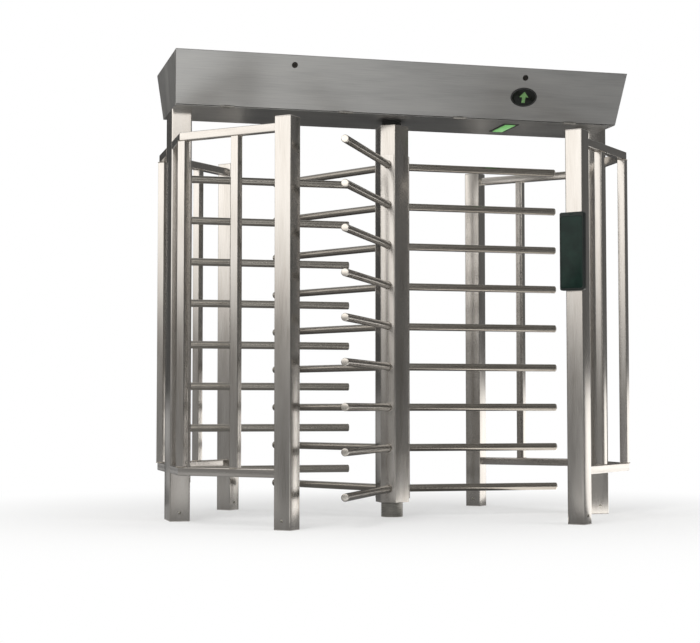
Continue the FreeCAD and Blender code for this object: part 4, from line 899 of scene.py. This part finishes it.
def reader_rings(size, shift, profile):
    """Rounded upright rectangles in front of the right guard post, from (depth, inset) pairs in mm.
    The depth is from the post's axis."""
    across = Vector((math.cos(reader_angle), math.sin(reader_angle), 0))
    out_way = Vector((-math.sin(reader_angle), math.cos(reader_angle), 0))
    corner = min(READER_CORNER, min(size) / SIDE_PER_CORNER)
    rings = []
    for depth, inset in profile:
        centre = Vector((GUARD_X, -GUARD_Y, READER_CENTRE_Z + shift)) + out_way * (depth * MM)
        outline = rounded(rectangle(size[0] - 2 * inset * MM, size[1] - 2 * inset * MM),
                          max(corner - inset * MM, READER_LEAST_CORNER), READER_CORNER_STEPS)
        rings.append([centre + across * p.x + Vector((0, 0, p.y)) for p in outline])
    return rings


window_plastic = coated("polycarbonate_tinted_coated", [(0.3, "#101f1b"), (0.7, "#182b25")],
                        grain_mm=40, roughness=0.16, bump_mm=0.01, ior=1.58, gloss=0.12)
case_plastic = coated("abs_moulded_satin_green_black", [(0.3, "#141b19"), (0.7, "#1c2422")],
                      grain_mm=0.9, roughness=0.45, bump_mm=0.08, ior=1.54, gloss=0.3)
casing = Shape().skin(reader_rings(READER_SIZE, 0, READER_PROFILE)
                      + reader_rings(WINDOW_SIZE, WINDOW_SHIFT, WINDOW_STEP_PROFILE), "closed")
casing.piece("reader_moulded_casing", "frame", "black_plastic", case_plastic, ["reader_housing"])
pane = Shape().skin(reader_rings(WINDOW_SIZE, WINDOW_SHIFT, PANE_PROFILE), "closed")
pane.piece("reader_glossy_window", "frame", "reader_glass", window_plastic, ["reader_window"])
status = Shape().skin(reader_rings(STATUS_SIZE, STATUS_SHIFT, STATUS_PROFILE), "closed")
status.piece("reader_status_light", "frame", "reader_glass", window_plastic)


# Floor
# A plain pale studio floor. It keeps the turnstile's shadow close by and fades to plain white.
FLOOR_SIDE = 60.0
FADE_START = 0.9
FADE_END = 3.2
FADE_LEAST = 0.4


def seen_rays(tree):
    """1 for rays that the camera sees directly, in a mirror or through glass, and 0 for lighting."""
    ray = add_node(tree, "LightPath")
    total = ray.outputs["Is Camera Ray"]
    for kind in ("Is Glossy Ray", "Is Transmission Ray"):
        total = add_node(tree, "Math", {"operation": "ADD", "use_clamp": True},
                         links={0: total, 1: ray.outputs[kind]}).outputs[0]
    return total


floor_mesh = bpy.data.meshes.new("studio_floor")
floor_mesh.from_pydata([(x, y, 0) for x, y in rectangle(FLOOR_SIDE, FLOOR_SIDE)], [], [(0, 1, 2, 3)])
floor = bpy.data.objects.new("studio_floor", floor_mesh)
bpy.context.scene.collection.objects.link(floor)
material, tree, out = new_material("floor_matt_white")
distance = add_node(tree, "VectorMath", {"operation": "LENGTH"},
                    links={"Vector": add_node(tree, "TexCoord").outputs["Object"]})
fade = add_node(tree, "MapRange", {"interpolation_type": "SMOOTHSTEP"},
                {"From Min": FADE_START, "From Max": FADE_END, "To Min": FADE_LEAST},
                {"Value": distance.outputs["Value"]})
share = add_node(tree, "Math", {"operation": "MULTIPLY"},
                 links={0: fade.outputs["Result"], 1: seen_rays(tree)})
paper = add_node(tree, "BsdfDiffuse", values={"Color": linear("#f4f4f3")})
white = add_node(tree, "Emission", values={"Strength": 1.0})
mixed = add_node(tree, "MixShader", links={"Fac": share.outputs[0], 1: paper.outputs[0], 2: white.outputs[0]})
tree.links.new(mixed.outputs[0], out.inputs["Surface"])
floor_mesh.materials.append(material)


# Light tent
# Plain cards round the turnstile, seen only in reflections. Polished metal shows what stands round
# it: a lit screen on the left and one high in front, grey walls and a ceiling elsewhere, a white
# strip low on the right, and grey bands on the floor.
TENT_X = (-4.0, 5.0)
TENT_Y = (-8.6, 6.0)
TENT_TOP = 4.4
LEFT_SCREEN_END = 2.6
STRIP_START = 0.2
STRIP_TOP = 0.8
STRIP_GAP = 0.05
STRIP_RISE = 4 * MM
STRIP_CORNERS = ((0.2, -0.75), (TENT_X[1], STRIP_START), (TENT_X[1], 4.0), (1.6, 1.4))
FRONT_SPLIT = 2.6
REAR_SPLIT = -1.0
CARD_RISE = 3 * MM
FLOOR_BANDS = (TENT_Y[0], -4.8, -1.2, 1.2, 3.2, TENT_Y[1])
WALL_GREY = "#f6f5f3"
SCREEN_WHITE = "#fffcf8"


def tent_card(name, corners, axis, span, stops):
    """Card that glows plainly, from (share of the span, hex colour, strength) stops along one axis."""
    mesh = bpy.data.meshes.new(name)
    mesh.from_pydata(corners, [], [(0, 1, 2, 3)])
    card = bpy.data.objects.new(name, mesh)
    bpy.context.scene.collection.objects.link(card)
    for ray_kind in ("camera", "diffuse", "transmission", "volume_scatter", "shadow"):
        setattr(card, "visible_" + ray_kind, False)
    material, tree, out = new_material(name)
    parts = add_node(tree, "SeparateXYZ", links={"Vector": add_node(tree, "TexCoord").outputs["Object"]})
    place = add_node(tree, "MapRange", values={"From Min": span[0], "From Max": span[1]},
                     links={"Value": parts.outputs[axis]})
    top = max(strength for _, _, strength in stops)
    dimmed = [(position, [channel * strength / top for channel in linear(colour)[:3]] + [1.0])
              for position, colour, strength in stops]
    light = add_node(tree, "Emission", values={"Strength": top},
                     links={"Color": colour_ramp(tree, place.outputs["Result"], dimmed)})
    tree.links.new(light.outputs[0], out.inputs["Surface"])
    mesh.materials.append(material)


def glow(colour, *stops):
    """Stops of one colour for a card, from (share of the span, strength) pairs."""
    return [(position, colour, strength) for position, strength in stops]


x0, x1 = TENT_X
y0, y1 = TENT_Y
strip_x = x1 - STRIP_GAP
for name, start, end, top, stops in (
        ("tent_left", (x0, y0), (x0, LEFT_SCREEN_END), TENT_TOP,
         glow(WALL_GREY, (0.0, 0.26), (0.11, 0.3))
         + glow(SCREEN_WHITE, (0.22, 0.36), (0.262, 0.5), (0.295, 0.98), (0.34, 1.25), (0.45, 1.7),
                (1.0, 1.8))),
        ("tent_left_rear", (x0, LEFT_SCREEN_END), (x0, y1), TENT_TOP,
         glow(WALL_GREY, (0.0, 0.16), (1.0, 0.3))),
        ("tent_right", (x1, y0), (x1, y1), TENT_TOP,
         glow(WALL_GREY, (0.0, 0.18), (0.19, 0.16), (1.0, 0.16))),
        ("tent_strip_upright", (strip_x, STRIP_START), (strip_x, y1), STRIP_TOP,
         glow(SCREEN_WHITE, (0.0, 1.9), (0.75, 1.8), (1.0, 0.3))),
        ("tent_front_left", (x0, y0), (FRONT_SPLIT, y0), TENT_TOP,
         glow(WALL_GREY, (0.0, 0.28), (0.3, 0.2), (0.67, 0.3)) + glow(SCREEN_WHITE, (0.77, 2.0), (1.0, 2.1))),
        ("tent_front_right", (FRONT_SPLIT, y0), (x1, y0), TENT_TOP,
         glow(WALL_GREY, (0.0, 0.26), (0.3, 0.2), (1.0, 0.16))),
        ("tent_rear_left", (x0, y1), (REAR_SPLIT, y1), TENT_TOP,
         glow(WALL_GREY, (0.0, 0.14), (0.06, 0.45), (0.11, 0.45), (0.16, 0.08), (1.0, 0.08))),
        ("tent_rear_right", (REAR_SPLIT, y1), (x1, y1), TENT_TOP,
         glow(WALL_GREY, (0.0, 0.1), (0.58, 0.07), (0.76, 0.8), (1.0, 1.2)))):
    tent_card(name, [(*start, 0), (*end, 0), (*end, top), (*start, top)], "Z", (0, top), stops)
tent_card("tent_strip_level", [(x, y, STRIP_RISE) for x, y in STRIP_CORNERS], "X", (0, x1),
          glow(SCREEN_WHITE, (0.0, 2.6), (0.3, 1.7), (1.0, 1.5)))
floor_stops = {
    "near": glow(WALL_GREY, (0.0, 0.8), (1.0, 0.8)),
    "front": glow(WALL_GREY, (0.0, 0.22), (0.2, 0.3), (0.37, 1.2), (0.55, 0.5), (0.72, 0.36), (1.0, 0.3)),
    "middle": glow(WALL_GREY, (0.0, 0.8), (0.2, 0.5), (0.3, 0.34), (0.5, 0.2), (0.75, 0.3), (1.0, 0.8)),
    "rear": glow(WALL_GREY, (0.0, 0.6), (0.3, 0.16), (0.5, 0.1), (1.0, 0.18)),
    "far": glow(WALL_GREY, (0.0, 0.8), (0.22, 0.5), (0.34, 0.1), (1.0, 0.1))}
level_cards = [("tent_top", y0, y1, TENT_TOP, glow(WALL_GREY, (0.0, 0.9), (0.6, 0.5), (1.0, 0.3)))]
for band, near, far in zip(floor_stops, FLOOR_BANDS, FLOOR_BANDS[1:]):
    level_cards.append(("tent_floor_" + band, near, far, CARD_RISE, floor_stops[band]))
for name, near, far, z, stops in level_cards:
    tent_card(name, [(x0, near, z), (x1, near, z), (x1, far, z), (x0, far, z)], "X", TENT_X, stops)


# Lights
# One large soft box high on the left, a weaker one on the right and an even pale surround.
KEY_PLACE = (-3.4, -4.6, 5.2)
KEY_SIZE = 3.2
KEY_POWER = 210
FILL_PLACE = (4.2, -3.6, 3.6)
FILL_SIZE = 2.6
FILL_POWER = 70
LIGHT_AIM = (0, 0, 1.0)
SURROUND = 0.62


def soft_box(name, place, size, power):
    """Square area light that faces the turnstile and isn't mirrored in it."""
    lamp = bpy.data.lights.new(name, "AREA")
    lamp.energy = power
    lamp.size = size
    box = bpy.data.objects.new(name, lamp)
    box.location = place
    box.rotation_euler = (Vector(LIGHT_AIM) - Vector(place)).to_track_quat("-Z", "Y").to_euler()
    box.visible_glossy = False
    bpy.context.scene.collection.objects.link(box)


soft_box("key_soft_box", KEY_PLACE, KEY_SIZE, KEY_POWER)
soft_box("fill_soft_box", FILL_PLACE, FILL_SIZE, FILL_POWER)
world = bpy.data.worlds.new("studio_surround")
world.use_nodes = True
world.node_tree.nodes.clear()
bpy.context.scene.world = world
tree = world.node_tree
dim, white = [add_node(tree, "Background", values={"Color": (1, 1, 1, 1), "Strength": strength})
              for strength in (SURROUND, 1.0)]
mixed = add_node(tree, "MixShader", links={"Fac": seen_rays(tree), 1: dim.outputs[0], 2: white.outputs[0]})
tree.links.new(mixed.outputs[0], add_node(tree, "OutputWorld").inputs["Surface"])


# Camera
# It stands at the left of the entry side, half a metre above the floor, and looks slightly up.
CAMERA_PLACE = (-2.277646, -7.867432, 0.552257)
CAMERA_PITCH = 0.05443271
CAMERA_YAW = -0.25559507
CAMERA_REACH = 100
SENSOR = 36.0
FOCAL_PIXELS = 1593.59
IMAGE_WIDTH = 700

camera_data = bpy.data.cameras.new("camera")
camera_data.sensor_width = SENSOR
camera_data.lens = FOCAL_PIXELS * SENSOR / IMAGE_WIDTH
camera_data.clip_end = CAMERA_REACH
camera = bpy.data.objects.new("camera", camera_data)
camera.location = CAMERA_PLACE
camera.rotation_euler = (math.pi / 2 + CAMERA_PITCH, 0, CAMERA_YAW)
bpy.context.scene.collection.objects.link(camera)
bpy.context.scene.camera = camera
bpy.context.scene.view_settings.view_transform = "Standard"
